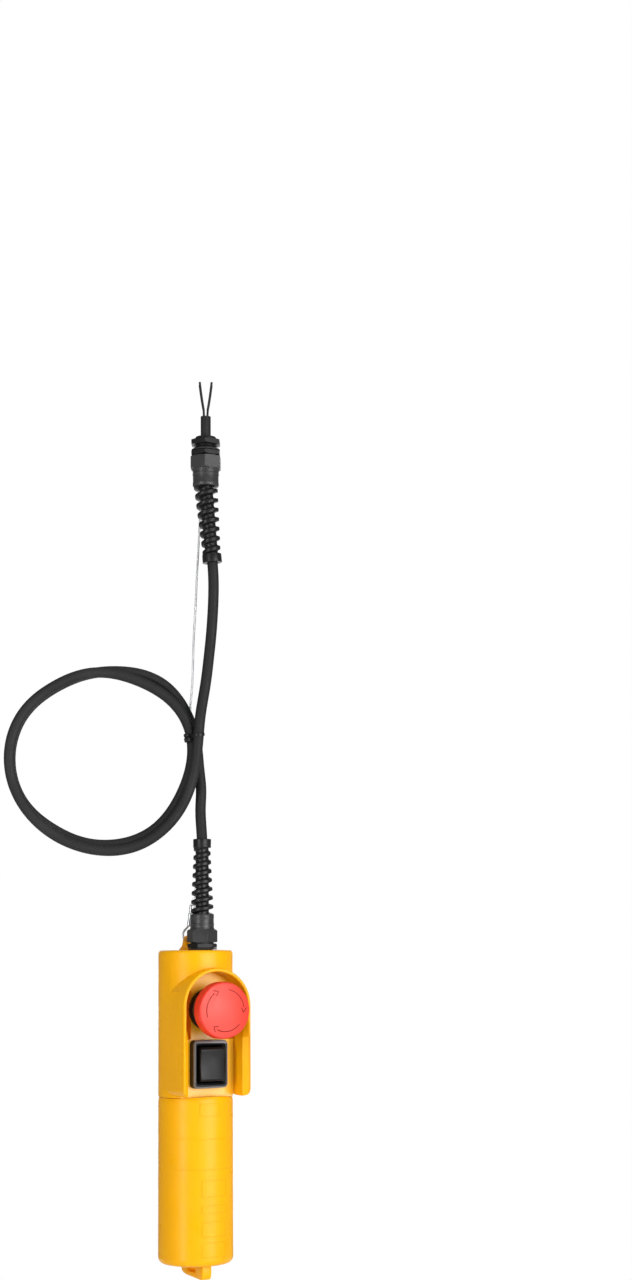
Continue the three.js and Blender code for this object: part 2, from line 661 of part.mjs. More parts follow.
// cable in the hoist gland: the length in the protector, then the stripped sheath and four cores
function hoistEnd() {
  const { spiralStart, length } = HOIST_GLAND;
  const cores = [];
  for (let i = 0; i < 4; i += 1) {
    const angle = ((i + 0.5) * Math.PI) / 2;
    const [x, y] = [Math.cos(angle), Math.sin(angle)];
    const points = [[1.7, -22], [1.9, -28], [4, -37], [6, -48]].map(([r, z]) => [r * x, r * y, z]);
    cores.push(tube(points, 0.9, 6, 4));
  }
  const inProtector = tipped(rod(CABLE_R, spiralStart, length - 1.5 * GAP, 10), HOIST_GLAND);
  return shaped(rod(CABLE_R, -24, spiralStart + 0.2, 10), [inProtector, ...cores]);
}
place(upperGland, 'cable_hoist_end', hoistEnd(), cableJacket);

// ---------------------------------------------------------------- cores inside

const coreStart = -16.6;
const wireSets = [
  ['core_brown', coreColours.brown, [
    [-1.6, GLAND_Y - 0.6, coreStart], [-1.6, GLAND_Y - 0.6, -19], [-8, 0, -25], [-14, 6.5, -31],
    [-14.2, 8.1, -35], [-14.2, 8.1, -38.6],
  ]],
  ['core_blue', coreColours.blue, [
    [1.6, GLAND_Y - 0.6, coreStart], [1.6, GLAND_Y - 0.6, -19], [8, 0, -25], [14, 6.5, -31],
    [14.2, 8.1, -35], [14.2, 8.1, -38.6],
  ]],
  ['core_black', coreColours.black, [
    [-1.5, GLAND_Y + 1.7, coreStart], [-1.5, GLAND_Y + 1.7, -18.4], [-4, 6, -22], [-6.5, 18.6, -27],
    [-6.5, 19.6, -40], [-6.5, 19.4, -52], [-6, 18.6, -62], [-5.4, 15.6, -68.4], [-5.35, 13.2, -69.9],
  ]],
  ['core_grey', coreColours.grey, [
    [1.5, GLAND_Y + 1.7, coreStart], [1.5, GLAND_Y + 1.7, -18.4], [4, 6, -22], [6.5, 18.6, -27],
    [6.5, 19.6, -40], [6.5, 19.4, -52], [6, 18.6, -62], [5.4, 15.6, -68.4], [5.35, 13.2, -69.9],
  ]],
  ['capacitor_lead_left', coreColours.brown, [
    [-6, 0, CAP_TOP + 9.5], [-7, 3, -116], [-9, 12, -106], [-7, 16.5, -96],
    [-5.4, 15.8, -88.6], [-5.35, 13.2, -86.7],
  ]],
  ['capacitor_lead_right', coreColours.blue, [
    [6, 0, CAP_TOP + 9.5], [7, 3, -116], [9, 12, -106], [7, 16.5, -96],
    [5.4, 15.8, -88.6], [5.35, 13.2, -86.7],
  ]],
];
for (const [name, material, points] of wireSets) {
  place(pendant, name, tube(points, 1, 6, 14), material);
}

// ---------------------------------------------------------------- free cable

// leads between the glands and the coil, as [side, behind, height]
const UPPER_LEAD = [
  [4.7, 0, -81.5], [5.3, 0, -88.5], [5.5, 0, -96], [5.3, 0, -107.3], [4.6, -0.4, -121],
  [3.5, -1, -135.4], [2.0, -1.8, -149], [0.4, -2.6, -163.5], [-1.6, -3.2, -176],
  [-3.3, -3.6, -185.4], [-4.2, -3.8, -191.4],
];
const LOWER_LEAD = [
  [-2.8, 0, -276.5], [-3.2, 0.4, -270], [-4.1, 1.4, -259], [-3.9, 2.6, -250], [-3.0, 3.2, -245.4],
];
place(station, 'cable_upper', tube(UPPER_LEAD.map((p) => coilPoint(...p)), CABLE_R, 10, 12),
  cableJacket);
place(station, 'cable_lower', tube(LOWER_LEAD.map((p) => coilPoint(...p)), CABLE_R, 10, 6),
  cableJacket);

// a ring whose axis is level and square to COIL_SIDE, round the coil's centre
function coilRing(innerR, outerR, near, far) {
  const geometry = ring(innerR, outerR, near, far, 32);
  const turn = Math.atan2(COIL_SIDE.y, COIL_SIDE.x);
  const [x, y, z] = coilPoint(COIL_OFFSET, 0, COIL_Z);
  return alongY(geometry).rotateZ(turn).translate(x, y, z);
}
place(station, 'cable_coil',
  coilRing(COIL_INNER_R, COIL_OUTER_R, -COIL_HALF_DEPTH, COIL_HALF_DEPTH), cableJacket);

// ---------------------------------------------------------------- cable tie

function cableTie() {
  const [r0, r1] = [COIL_INNER_R - 0.5, COIL_OUTER_R + 0.5];
  const [near, far] = [-COIL_HALF_DEPTH - 0.5, COIL_HALF_DEPTH + 3.4];
  const outline = roundedRect(r0 - 1.2, r1 + 1.2, near - 1.2, far + 1.2, 2.4);
  outline.holes.push(roundedRect(r0, r1, near, far, 1.2));
  const band = new THREE.ExtrudeGeometry(outline, {
    depth: 3.6, bevelEnabled: false, curveSegments: 3,
  }).translate(0, 0, -1.8);
  const head = box(r0 - 4.6, r0 - 0.8, near - 1.2, near + 4.6, -2.9, 2.9);
  const tail = box(r0 - 3.2, r0 - 2, near - 6, near + 1, -1.7, 1.7);
  return shaped(band, [head, tail]);
}
const tie = place(station, 'cable_tie', cableTie(), blackPlastic);
const TIE_ANGLE = 0.235;              // above the level of the coil's centre
tie.position.set(...coilPoint(COIL_OFFSET, 0, COIL_Z));
tie.rotation.set(0, -TIE_ANGLE, Math.atan2(COIL_SIDE.y, COIL_SIDE.x), 'ZYX');

// ---------------------------------------------------------------- safety wire

const WIRE_UPPER = [
  [-3.2, 14.6, -30.4], [-4.2, 14.2, -48], [-5.3, 13.5, -70.9], [-6.3, 13.1, -87.7],
  [-7.0, 12.7, -104.5], [-7.9, 12.3, -121.4], [-8.8, 11.9, -138.2], [-9.2, 11.6, -155],
  [-10.0, 11.2, -171.9], [-11.2, 10.7, -186.4],
];
const eyeTop = new THREE.Vector3(PENDANT_X, PENDANT_Y + LUG_EYE_Y, PENDANT_TOP + LUG_EYE_Z + 5);
const WIRE_LOWER = [
  [-9.4, 17.6, -322], [-7.4, 16.4, -312], [-5.6, 14.6, -298], [-4.6, 13.2, -282],
  [-4.6, 12.2, -266], [-5.4, 11.4, -254], [-6.6, 10.9, -246],
];
place(station, 'safety_wire_upper', tube(WIRE_UPPER.map((p) => coilPoint(...p)), WIRE_R, 8, 26),
  wireSteel);
place(station, 'safety_wire_lower', tube(WIRE_LOWER.map((p) => coilPoint(...p)), WIRE_R, 8, 16),
  wireSteel);
place(station, 'safety_wire_coil',
  coilRing(61.6, 66.4, COIL_HALF_DEPTH + GAP, COIL_HALF_DEPTH + 2.6), wireSteel);

// the closed loop and crimped ferrule at each end of the wire
function wireLoop(name, centre, ferruleStart, ferruleEnd) {
  const loop = new THREE.TorusGeometry(5, WIRE_R, 5, 16).rotateX(Math.PI / 2);
  place(station, `${name}_loop`, loop.translate(centre.x, centre.y, centre.z), wireSteel);
  const [from, to] = [new THREE.Vector3(...ferruleStart), new THREE.Vector3(...ferruleEnd)];
  const along = to.clone().sub(from);
  const ferrule = new THREE.CylinderGeometry(1.9, 1.9, along.length(), 12);
  const mesh = place(station, `${name}_ferrule`, ferrule, aluminium);
  mesh.position.copy(from).addScaledVector(along, 0.5);
  mesh.quaternion.setFromUnitVectors(new THREE.Vector3(0, 1, 0), along.normalize());
}
const loopTop = new THREE.Vector3(...coilPoint(-2.8, 15, -14));
wireLoop('hoist_wire', loopTop,
  [loopTop.x, loopTop.y, loopTop.z - 6.1], coilPoint(-3.2, 14.6, -30.1));
wireLoop('pendant_wire', eyeTop,
  [eyeTop.x, eyeTop.y, eyeTop.z + 6.1], coilPoint(-9.7, 17.75, -322.4));

export default station;
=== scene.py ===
import json
import math

import bmesh
import bpy
from mathutils import Matrix, Vector, geometry

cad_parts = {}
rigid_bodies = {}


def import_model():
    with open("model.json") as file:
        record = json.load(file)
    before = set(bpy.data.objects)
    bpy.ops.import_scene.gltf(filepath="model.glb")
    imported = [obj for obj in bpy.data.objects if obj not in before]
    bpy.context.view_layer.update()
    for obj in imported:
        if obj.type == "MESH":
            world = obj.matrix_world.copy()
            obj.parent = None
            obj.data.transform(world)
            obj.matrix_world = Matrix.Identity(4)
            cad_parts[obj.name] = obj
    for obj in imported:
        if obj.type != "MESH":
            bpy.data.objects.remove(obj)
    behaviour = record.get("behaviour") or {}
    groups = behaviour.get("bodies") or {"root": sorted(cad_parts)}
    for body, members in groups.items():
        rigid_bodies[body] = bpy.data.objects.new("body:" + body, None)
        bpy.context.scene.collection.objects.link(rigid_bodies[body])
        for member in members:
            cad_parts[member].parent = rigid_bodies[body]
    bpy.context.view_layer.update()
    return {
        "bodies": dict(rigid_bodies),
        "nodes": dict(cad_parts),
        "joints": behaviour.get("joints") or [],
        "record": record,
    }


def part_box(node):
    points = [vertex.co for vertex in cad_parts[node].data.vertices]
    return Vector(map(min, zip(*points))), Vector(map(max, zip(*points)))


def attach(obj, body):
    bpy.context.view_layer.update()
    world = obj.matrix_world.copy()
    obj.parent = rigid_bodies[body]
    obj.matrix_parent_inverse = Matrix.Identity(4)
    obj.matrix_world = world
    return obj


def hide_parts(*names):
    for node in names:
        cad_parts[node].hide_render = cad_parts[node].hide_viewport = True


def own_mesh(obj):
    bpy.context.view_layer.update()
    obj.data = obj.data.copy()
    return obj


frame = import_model()
MM = 0.001
WORLD = Matrix.Identity(4)

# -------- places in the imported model

handle_low, handle_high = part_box("handle_tube")
AXIS_X = (handle_low.x + handle_high.x) / 2
AXIS_Y = 11.5 * MM
TOP_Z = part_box("pendant_gland_washer")[0].z - 0.3 * MM

SIDE = Vector((0.891, -0.454, 0))      # along the coil's plane
BACK = Vector((0.454, 0.891, 0))       # away from the viewer
GLAND_Y = -10.2                        # lower gland, in front of the handle's axis

# frames that take millimetres to the scene: the handle's, with its top face at z = 0, and the
# two glands', each with its seat at z = 0 and its cable side towards +z
HANDLE = Matrix.Translation((AXIS_X, AXIS_Y, TOP_Z)) @ Matrix.Scale(MM, 4)
LOWER_GLAND = HANDLE @ Matrix.Translation((0, GLAND_Y, 0))
UPPER_GLAND = Matrix((SIDE, -BACK, (0, 0, -1))).transposed().to_4x4() @ Matrix.Scale(MM, 4)


def coil_point(side, behind, z):
    return (SIDE * side + BACK * behind + Vector((0, 0, z))) * MM


# -------- camera

def add_object(name, data):
    made = bpy.data.objects.new(name, data)
    bpy.context.scene.collection.objects.link(made)
    return made


def make_camera():
    """Level with the handle's top, 27 degrees to the left of the panel."""
    distance, height = 1.377, -0.3529
    data = bpy.data.cameras.new("camera")
    data.sensor_width = 36
    data.lens = 54.957
    data.shift_y = 0.12
    data.clip_start = 0.05
    data.clip_end = 60
    yaw, pitch, roll = (math.radians(a) for a in (3.5418, 4.5011, -0.3111))
    up = Vector((0, 0, 1))
    ahead = BACK * math.cos(yaw) + SIDE * math.sin(yaw)
    right = SIDE * math.cos(yaw) - BACK * math.sin(yaw)
    look = ahead * math.cos(pitch) + up * math.sin(pitch)
    rise = up * math.cos(pitch) - ahead * math.sin(pitch)
    turn = Matrix((right * math.cos(roll) + rise * math.sin(roll),
                   rise * math.cos(roll) - right * math.sin(roll), -look)).transposed().to_4x4()
    place = Vector((AXIS_X, AXIS_Y, height)) - BACK * distance
    camera = add_object("camera", data)
    camera.matrix_world = Matrix.Translation(place) @ turn
    bpy.context.scene.camera = camera


make_camera()

# -------- mesh helpers

def link(name, bm, material=None, frame=HANDLE, angle=32):
    """Object from a bmesh in frame's millimetres, smooth except at edges sharper than angle."""
    bm.transform(frame)
    bmesh.ops.recalc_face_normals(bm, faces=bm.faces)
    for face in bm.faces:
        face.smooth = True
    limit = math.radians(angle)
    for edge in bm.edges:
        edge.smooth = edge.is_manifold and edge.calc_face_angle(0) < limit
    mesh = bpy.data.meshes.new(name)
    bm.to_mesh(mesh)
    bm.free()
    if material:
        mesh.materials.append(material)
    return add_object(name, mesh)


def rounded(points, radius, steps=4, closed=False):
    """A polyline whose corners become arcs of one radius, or of one radius each."""
    pts = [Vector((p[0], p[1], 0)) for p in points]
    count = len(pts)
    out = []
    for i, p in enumerate(pts):
        r = radius[i] if hasattr(radius, "__len__") else radius
        if not closed and i in (0, count - 1) or r <= 0:
            out.append((p.x, p.y))
            continue
        a = pts[i - 1] - p
        b = pts[(i + 1) % count] - p
        cut = min(r, 0.49 * a.length, 0.49 * b.length)
        a, b = a.normalized() * cut, b.normalized() * cut
        for k in range(steps + 1):
            t = k / steps
            q = (p + a) * (1 - t) ** 2 + p * 2 * t * (1 - t) + (p + b) * t * t
            out.append((q.x, q.y))
    return out


def circle(count):
    """Angles round a full turn."""
    return [2 * math.pi * k / count for k in range(count)]


def turned_spot(a, b, h, along, at):
    x, y, z = at
    if along == "Y":
        return (x + a, y + h, z + b)
    if along == "X":
        return (x + h, y + a, z + b)
    return (x + a, y + b, z + h)


def lathe(profile, sides=96, along="Z", at=(0, 0, 0), closed=False):
    """Turned solid from [radius, height]; a closed profile gives a ring."""
    bm = bmesh.new()
    rows = []
    for r, h in profile:
        rows.append([
            bm.verts.new(turned_spot(r * math.cos(a), r * math.sin(a), h, along, at))
            for a in circle(1 if r < 1e-6 else sides)
        ])
    pairs = list(zip(rows, rows[1:]))
    if closed:
        pairs.append((rows[-1], rows[0]))
    for low, high in pairs:
        for k in range(sides):
            n = (k + 1) % sides
            ring = [low[k % len(low)], low[n % len(low)], high[n % len(high)], high[k % len(high)]]
            corners = list(dict.fromkeys(ring))
            if len(corners) > 2:
                bm.faces.new(corners)
    return bm


def rod(radius, h0, h1, sides=48, along="Z", at=(0, 0, 0)):
    return lathe([(0, h0), (radius, h0), (radius, h1), (0, h1)], sides, along, at)


def ring(inner, outer, h0, h1, corner=0.3, sides=72, along="Z", at=(0, 0, 0)):
    outline = rounded([(inner, h0), (outer, h0), (outer, h1), (inner, h1)], corner, 3, True)
    return lathe(outline, sides, along, at, closed=True)


def stack(outlines, looped=False):
    """Solid through outlines of equal count, each a list of (x, y, z), with ends or in a loop."""
    bm = bmesh.new()
    rows = [[bm.verts.new(p) for p in line] for line in outlines]
    count = len(rows[0])
    for low, high in zip(rows, rows[1:] + rows[:looped]):
        for k in range(count):
            n = (k + 1) % count
            bm.faces.new((low[k], low[n], high[n], high[k]))
    if not looped:
        bm.faces.new(rows[0])
        bm.faces.new(rows[-1])
    return bm


def front_prism(outline, y0, y1):
    """Outline in X and Z, from y0 to y1."""
    return stack([[(x, y, z) for x, z in outline] for y in (y0, y1)])


def side_prism(outline, x0, x1):
    """Outline in Y and Z, from x0 to x1."""
    return stack([[(x, y, z) for y, z in outline] for x in (x0, x1)])


def flat_prism(outline, z0, z1):
    """Outline in X and Y, from z0 to z1."""
    return stack([[(x, y, z) for x, y in outline] for z in (z0, z1)])


def box(x0, x1, y0, y1, z0, z1):
    return flat_prism([(x0, y0), (x1, y0), (x1, y1), (x0, y1)], z0, z1)


def bevel_edges(bm, edges, width):
    bmesh.ops.bevel(bm, geom=edges, offset=width, segments=3, profile=0.5, affect="EDGES",
                    clamp_overlap=True)
    return bm


def rounded_box(x0, x1, y0, y1, z0, z1, edge):
    """Box with its edges rounded."""
    bm = box(x0, x1, y0, y1, z0, z1)
    return bevel_edges(bm, bm.edges[:], edge)


def combine(bm, others, operation):
    """Booleans, one after another."""
    base = link("base", bm, frame=WORLD)
    for other in others:
        tool = link("tool", other, frame=WORLD)
        change = base.modifiers.new("change", "BOOLEAN")
        change.operation = operation
        change.solver = "MANIFOLD"
        change.object = tool
        bpy.context.view_layer.update()
        graph = bpy.context.evaluated_depsgraph_get()
        done = bpy.data.meshes.new_from_object(base.evaluated_get(graph))
        base.modifiers.clear()
        base.data = done
        bpy.data.objects.remove(tool)
    result = bmesh.new()
    result.from_mesh(base.data)
    bpy.data.objects.remove(base)
    bmesh.ops.remove_doubles(result, verts=result.verts, dist=1e-4)
    return result


def union(bm, *others):
    return combine(bm, others, "UNION")


def minus(bm, *others):
    return combine(bm, others, "DIFFERENCE")


def common(bm, *others):
    return combine(bm, others, "INTERSECT")


def moved(bm, matrix):
    bm.transform(matrix)
    return bm


def joined(*parts):
    """Several separate solids as one bmesh."""
    whole = bmesh.new()
    for part in parts:
        mesh = bpy.data.meshes.new("part")
        part.to_mesh(mesh)
        part.free()
        whole.from_mesh(mesh)
        bpy.data.meshes.remove(mesh)
    return whole


def beveled(bm, width):
    """Rounds every edge sharper than 30 degrees."""
    bmesh.ops.recalc_face_normals(bm, faces=bm.faces)
    limit = math.radians(30)
    sharp = [e for e in bm.edges if e.is_manifold and e.calc_face_angle(0) > limit]
    return bevel_edges(bm, sharp, width)


def turned_about(bm, degrees):
    """Turned round the handle, from the panel side."""
    return moved(bm, Matrix.Rotation(math.radians(degrees), 4, "Z"))


def set_piece(piece, slot, *nodes, body="station"):
    """Puts a visible piece on a body, in place of CAD nodes."""
    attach(piece, body)
    if nodes:
        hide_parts(*nodes)
    return piece


def add_piece(name, bm, slot, *nodes, body="station", finish=None, second=None, frame=HANDLE,
              angle=32):
    """Visible piece in its slot's finish or another; second is for faces of material index 1."""
    piece = link(name, bm, FINISH[finish or slot], frame, angle)
    if second:
        piece.data.materials.append(FINISH[second])
    return set_piece(piece, slot, *nodes, body=body)


# -------- materials

FINISH = {}


def set_inputs(node, values):
    for socket, value in values.items():
        node.inputs[socket].default_value = value
    return node


def empty_tree(owner):
    owner.use_nodes = True
    owner.node_tree.nodes.clear()
    return owner.node_tree.nodes, owner.node_tree.links


def material(name, colour, rough, metal=0.0, mottle=0.06, grain=(2500, 0.000004),
             ripple=(60, 0.00003), edge=0.0004, wear=0.25, coat=0.0, subsurface=0.0,
             specular=0.5, dust=0.05):
    """Uneven colour and gloss, rubbed edges; grain and ripple are each a scale and a depth."""
    made = bpy.data.materials.new(name)
    FINISH[name] = made
    nodes, links = empty_tree(made)
    out = nodes.new("ShaderNodeOutputMaterial")
    shader = set_inputs(nodes.new("ShaderNodeBsdfPrincipled"), {
        "Metallic": metal, "Coat Weight": coat, "Coat Roughness": 0.25,
        "Subsurface Weight": subsurface, "Subsurface Radius": (0.004, 0.0015, 0.0006),
        "Specular IOR Level": specular,
    })
    links.new(shader.outputs[0], out.inputs[0])
    place = nodes.new("ShaderNodeTexCoord").outputs["Object"]

    def noise(scale, detail, distortion=0.0):
        node = set_inputs(nodes.new("ShaderNodeTexNoise"), {
            "Scale": scale, "Detail": detail, "Distortion": distortion,
        })
        links.new(place, node.inputs["Vector"])
        return node.outputs["Fac"]

    def spread(value, low, high, from_low=0.3, from_high=0.7):
        node = set_inputs(nodes.new("ShaderNodeMapRange"), {
            "From Min": from_low, "From Max": from_high, "To Min": low, "To Max": high,
        })
        links.new(value, node.inputs["Value"])
        return node.outputs["Result"]

    def feed(value, socket):
        """Joins an output to a socket, or sets the socket to a colour or number."""
        if hasattr(value, "links"):
            links.new(value, socket)
        else:
            socket.default_value = value

    def mixed(factor, a, b):
        node = nodes.new("ShaderNodeMix")
        node.data_type = "RGBA"
        links.new(factor, node.inputs["Factor"])
        for socket, value in (("A", a), ("B", b)):
            feed(value, [s for s in node.inputs if s.name == socket and s.type == "RGBA"][0])
        return [s for s in node.outputs if s.type == "RGBA"][0]

    def math_node(kind, a, b):
        node = nodes.new("ShaderNodeMath")
        node.operation = kind
        feed(a, node.inputs[0])
        feed(b, node.inputs[1])
        return node.outputs[0]

    def bumped(height, distance, below):
        node = set_inputs(nodes.new("ShaderNodeBump"), {"Strength": 1.0, "Distance": distance})
        links.new(height, node.inputs["Height"])
        links.new(below, node.inputs["Normal"])
        return node.outputs[0]

    def shade(change):
        return (*[change(c) for c in colour], 1)

    dark = shade(lambda c: c * (1 - mottle))
    light = shade(lambda c: min(1, c * (1 + mottle)))
    base = mixed(spread(noise(35, 4), 0, 1), dark, light)
    dust_grey = 0.35
    dusty = shade(lambda c: 0.75 * c + 0.25 * dust_grey)
    base = mixed(spread(noise(14, 6, 0.4), 0, dust * 3, 0.5, 0.75), base, dusty)

    bevel = nodes.new("ShaderNodeBevel")
    bevel.samples = 4
    bevel.inputs["Radius"].default_value = edge
    surface = nodes.new("ShaderNodeNewGeometry")
    dot = nodes.new("ShaderNodeVectorMath")
    dot.operation = "DOT_PRODUCT"
    links.new(bevel.outputs[0], dot.inputs[0])
    links.new(surface.outputs["Normal"], dot.inputs[1])
    worn = math_node("MULTIPLY", spread(dot.outputs["Value"], wear, 0, 0.75, 0.98),
                     spread(noise(180, 4), 0, 1, 0.4, 0.65))
    rubbed = shade(lambda c: 0.6 * c + 0.4 * min(1, c * 1.6 + 0.12))
    base = mixed(worn, base, rubbed)
    links.new(base, shader.inputs["Base Color"])

    unevenness = 0.08
    gloss = spread(noise(90, 5), rough - unevenness, rough + unevenness)
    links.new(gloss, shader.inputs["Roughness"])

    slow = bumped(noise(ripple[0], 2), ripple[1], bevel.outputs[0])
    links.new(bumped(noise(grain[0], 3), grain[1], slow), shader.inputs["Normal"])


material("yellow_plastic", (0.97, 0.445, 0.001), 0.33, mottle=0.03, ripple=(45, 0.00006),
         subsurface=0.04, dust=0.0, specular=0.22)
# the panel's yellow is painted lighter than the housing's, as painted light on the panel face under
# the hood, with a glossier coat
material("panel_yellow_painted_light", (1.0, 0.54, 0.008), 0.3, mottle=0.02, dust=0.0, specular=0.6, coat=0.25)
material("red_plastic", (0.85, 0.035, 0.014), 0.42, mottle=0.03, subsurface=0.05, dust=0.03)
material("dark_red_line", (0.13, 0.004, 0.003), 0.6, mottle=0.08, wear=0, specular=0.2)
material("black_plastic", (0.007, 0.007, 0.0075), 0.36, mottle=0.12, wear=0.1, specular=0.24,
         dust=0.01)
material("satin_black", (0.012, 0.012, 0.0125), 0.5, mottle=0.12, wear=0.2,
         grain=(2200, 0.00001), specular=0.25, dust=0.01)
# light grey for the bezel's front rim, with lighter edges: a painted highlight
material("bezel_rim_painted_highlight", (0.17, 0.17, 0.175), 0.4, mottle=0.12, wear=0.5)
material("gland_nylon", (0.009, 0.009, 0.0095), 0.36, mottle=0.15, wear=0.2,
         grain=(1800, 0.00001), specular=0.3, dust=0.01)
# lighter copy of the gland's nylon for the nut and neck: a painted highlight on the same black nylon
material("nut_nylon_painted_highlight", (0.03, 0.03, 0.031), 0.36, mottle=0.15, wear=0.25,
         grain=(1800, 0.00001), dust=0.02)
material("grey_plastic", (0.2, 0.2, 0.21), 0.42, wear=0.3)
material("white_plastic", (0.7, 0.7, 0.64), 0.45)
material("cable_jacket", (0.015, 0.015, 0.0163), 0.62, mottle=0.16, wear=0.1,
         grain=(1800, 0.00002), ripple=(120, 0.00006), specular=0.26)
material("black_rubber", (0.015, 0.015, 0.015), 0.75, mottle=0.15, wear=0.1)
material("foam", (0.07, 0.07, 0.072), 0.9, grain=(700, 0.0001), mottle=0.25, wear=0.1)
material("spring_steel", (0.6, 0.61, 0.63), 0.3, metal=1.0, grain=(2200, 0.000004), wear=0.3)
material("wire_steel", (0.78, 0.79, 0.81), 0.38, metal=1.0, mottle=0.15, wear=0.2, edge=0.0001)
material("brass", (0.72, 0.47, 0.13), 0.32, metal=1.0, mottle=0.1, wear=0.3)
material("aluminium", (0.68, 0.69, 0.7), 0.36, metal=1.0, mottle=0.08, wear=0.3)
for core, colour in (("brown", (0.14, 0.05, 0.016)), ("blue", (0.02, 0.11, 0.42)),
                     ("black", (0.016, 0.016, 0.016)), ("grey", (0.26, 0.27, 0.28))):
    material(core + "_insulation", colour, 0.5)

slot_of = {part["node"]: part["material_slot"] for part in frame["record"]["subparts"]}
for name, node in frame["nodes"].items():
    node.data.materials.clear()
    node.data.materials.append(FINISH[slot_of[name]])

# -------- free cable

CABLE_R = 3.75
WIRE_R = 0.75
COIL_CENTRE = (-71.3, -219.9)          # along SIDE, height
# (side, behind, height): the cable's ends inside its glands, where it leaves the lower one, and
# both free leads of the cable and of the wire, each from its end to the coil
UPPER_END = (4.5, 0, -79)
LOWER_END = (-2.8, 0, -279)
UPPER_LEAD = [
    (4.7, 0, -81.5), (5.3, 0, -88.5), (5.5, 0, -96), (5.3, 0, -107.3), (4.6, -0.4, -121),
    (3.5, -1, -135.4), (2.0, -1.8, -149), (0.4, -2.6, -163.5), (-1.6, -3.2, -176),
    (-3.3, -3.6, -185.4), (-4.2, -3.8, -191.4),
]
LOWER_LEAD = [
    (-2.8, 0, -276.5), (-3.2, 0.4, -270), (-4.1, 1.4, -259), (-3.9, 2.6, -250),
    (-3.0, 3.2, -245.4),
]
WIRE_UPPER = [
    (-3.2, 14.6, -30.4), (-4.2, 14.2, -48), (-5.3, 13.5, -70.9), (-6.3, 13.1, -87.7),
    (-7.0, 12.7, -104.5), (-7.9, 12.3, -121.4), (-8.8, 11.9, -138.2), (-9.2, 11.6, -155),
    (-10.0, 11.2, -171.9), (-11.2, 10.7, -186.4),
]
WIRE_LOWER = [
    (-9.4, 17.6, -322), (-7.4, 16.4, -312), (-5.6, 14.6, -298), (-4.6, 13.2, -282),
    (-4.6, 12.2, -266), (-5.4, 11.4, -254), (-6.6, 10.9, -246),
]


def bump(value, centre, width):
    return math.exp(-(((value - centre) / width) ** 2))


def keyed(value, keys):
    """Smooth steps between (place, level) pairs."""
    for (a, low), (b, high) in zip(keys, keys[1:]):
        if value <= b:
            t = max(0, (value - a) / (b - a))
            return low + (high - low) * t * t * (3 - 2 * t)
    return keys[-1][1]


def coil_spot(turned, radius, behind):
    """A point of the coil, clockwise degrees from its right-hand level."""
    angle = math.radians(-turned)
    return (COIL_CENTRE[0] + radius * math.cos(angle), behind,
            COIL_CENTRE[1] + radius * math.sin(angle))


# where the cable's turns leave the oval: (clockwise degrees, width, outwards)
SWELLS = [
    (14, 16, -1.9), (68, 25, 2.5), (92, 38, 3.0), (296, 26, -2.6), (384, 40, -5.8),
    (415, 26, 2.0), (486, 18, -1.7), (666, 24, 4.6), (736, 14, 1.0),
]


def cable_turns():
    """Two turns, wider than tall: they part at the lower right, and the last goes behind."""
    mean, oval, flat = 63.5, 2.3, 1.9
    depths = [(-20, -4.2), (240, -4.2), (345, 1.4), (400, 1.6), (450, 3.9), (630, 3.9),
              (695, 8.0), (712, 8.0), (740, 4.2)]
    for turned in range(-4, 731, 14):
        radius = mean + oval * math.cos(math.radians(2 * turned))
        radius += sum(height * bump(turned, centre, width) for centre, width, height in SWELLS)
        radius -= flat * bump(turned % 360, 236, 20)
        yield coil_spot(turned, radius, keyed(turned, depths))


def wire_turns():
    """Two turns of the wire on the coil's far side, clear of the cable's last crossing."""
    mean, oval, growth, depth, wave = 62.9, 1.7, 1.9, 8.7, 0.5
    for turned in range(-14, 735, 12):
        radius = mean + oval * math.cos(math.radians(2 * turned)) + growth * turned / 720
        bulge = 3.9 * bump((turned + 180) % 360 - 180, -14, 30)
        sway = wave * math.sin(math.radians(turned * 0.7))
        yield coil_spot(turned, radius, depth + bulge + sway)


def blended(p, q, t, start, end):
    """Between p at start and q at end."""
    return p * ((end - t) / (end - start)) + q * ((t - start) / (end - start))


def smooth_line(points, step):
    """Centripetal spline through the points, resampled evenly."""
    samples = 16
    pts = [Vector(p) for p in points]
    ends = [pts[0] * 2 - pts[1]] + pts + [pts[-1] * 2 - pts[-2]]
    dense = []
    for a, b, c, d in zip(ends, ends[1:], ends[2:], ends[3:]):
        t1 = math.sqrt((b - a).length)
        t2 = t1 + math.sqrt((c - b).length)
        t3 = t2 + math.sqrt((d - c).length)
        for k in range(samples):
            t = t1 + (t2 - t1) * k / samples
            p = blended(a, b, t, 0, t1)
            q = blended(b, c, t, t1, t2)
            r = blended(c, d, t, t2, t3)
            dense.append(blended(blended(p, q, t, 0, t2), blended(q, r, t, t1, t3), t, t1, t2))
    dense.append(pts[-1])
    out = [dense[0]]
    walked = 0.0
    for a, b in zip(dense, dense[1:]):
        length = (b - a).length
        while walked + length >= step:
            a = a + (b - a).normalized() * (step - walked)
            length = (b - a).length
            walked = 0.0
            out.append(a)
        walked += length
    out.append(dense[-1])
    return out


def relaxed(line, rounds):
    """The same line with its small wobbles taken out; its ends stay."""
    for _ in range(rounds):
        middle = [(a + b * 2 + c) / 4 for a, b, c in zip(line, line[1:], line[2:])]
        line = [line[0], *middle, line[-1]]
    return line


def length_of(line):
    return sum((b - a).length for a, b in zip(line, line[1:]))


cable_route = [UPPER_END, *UPPER_LEAD, *cable_turns(), *reversed(LOWER_LEAD), LOWER_END]
cable_path = relaxed(smooth_line(cable_route, 3.0), 8)
cable_line = [coil_point(*p) for p in reversed(cable_path)]

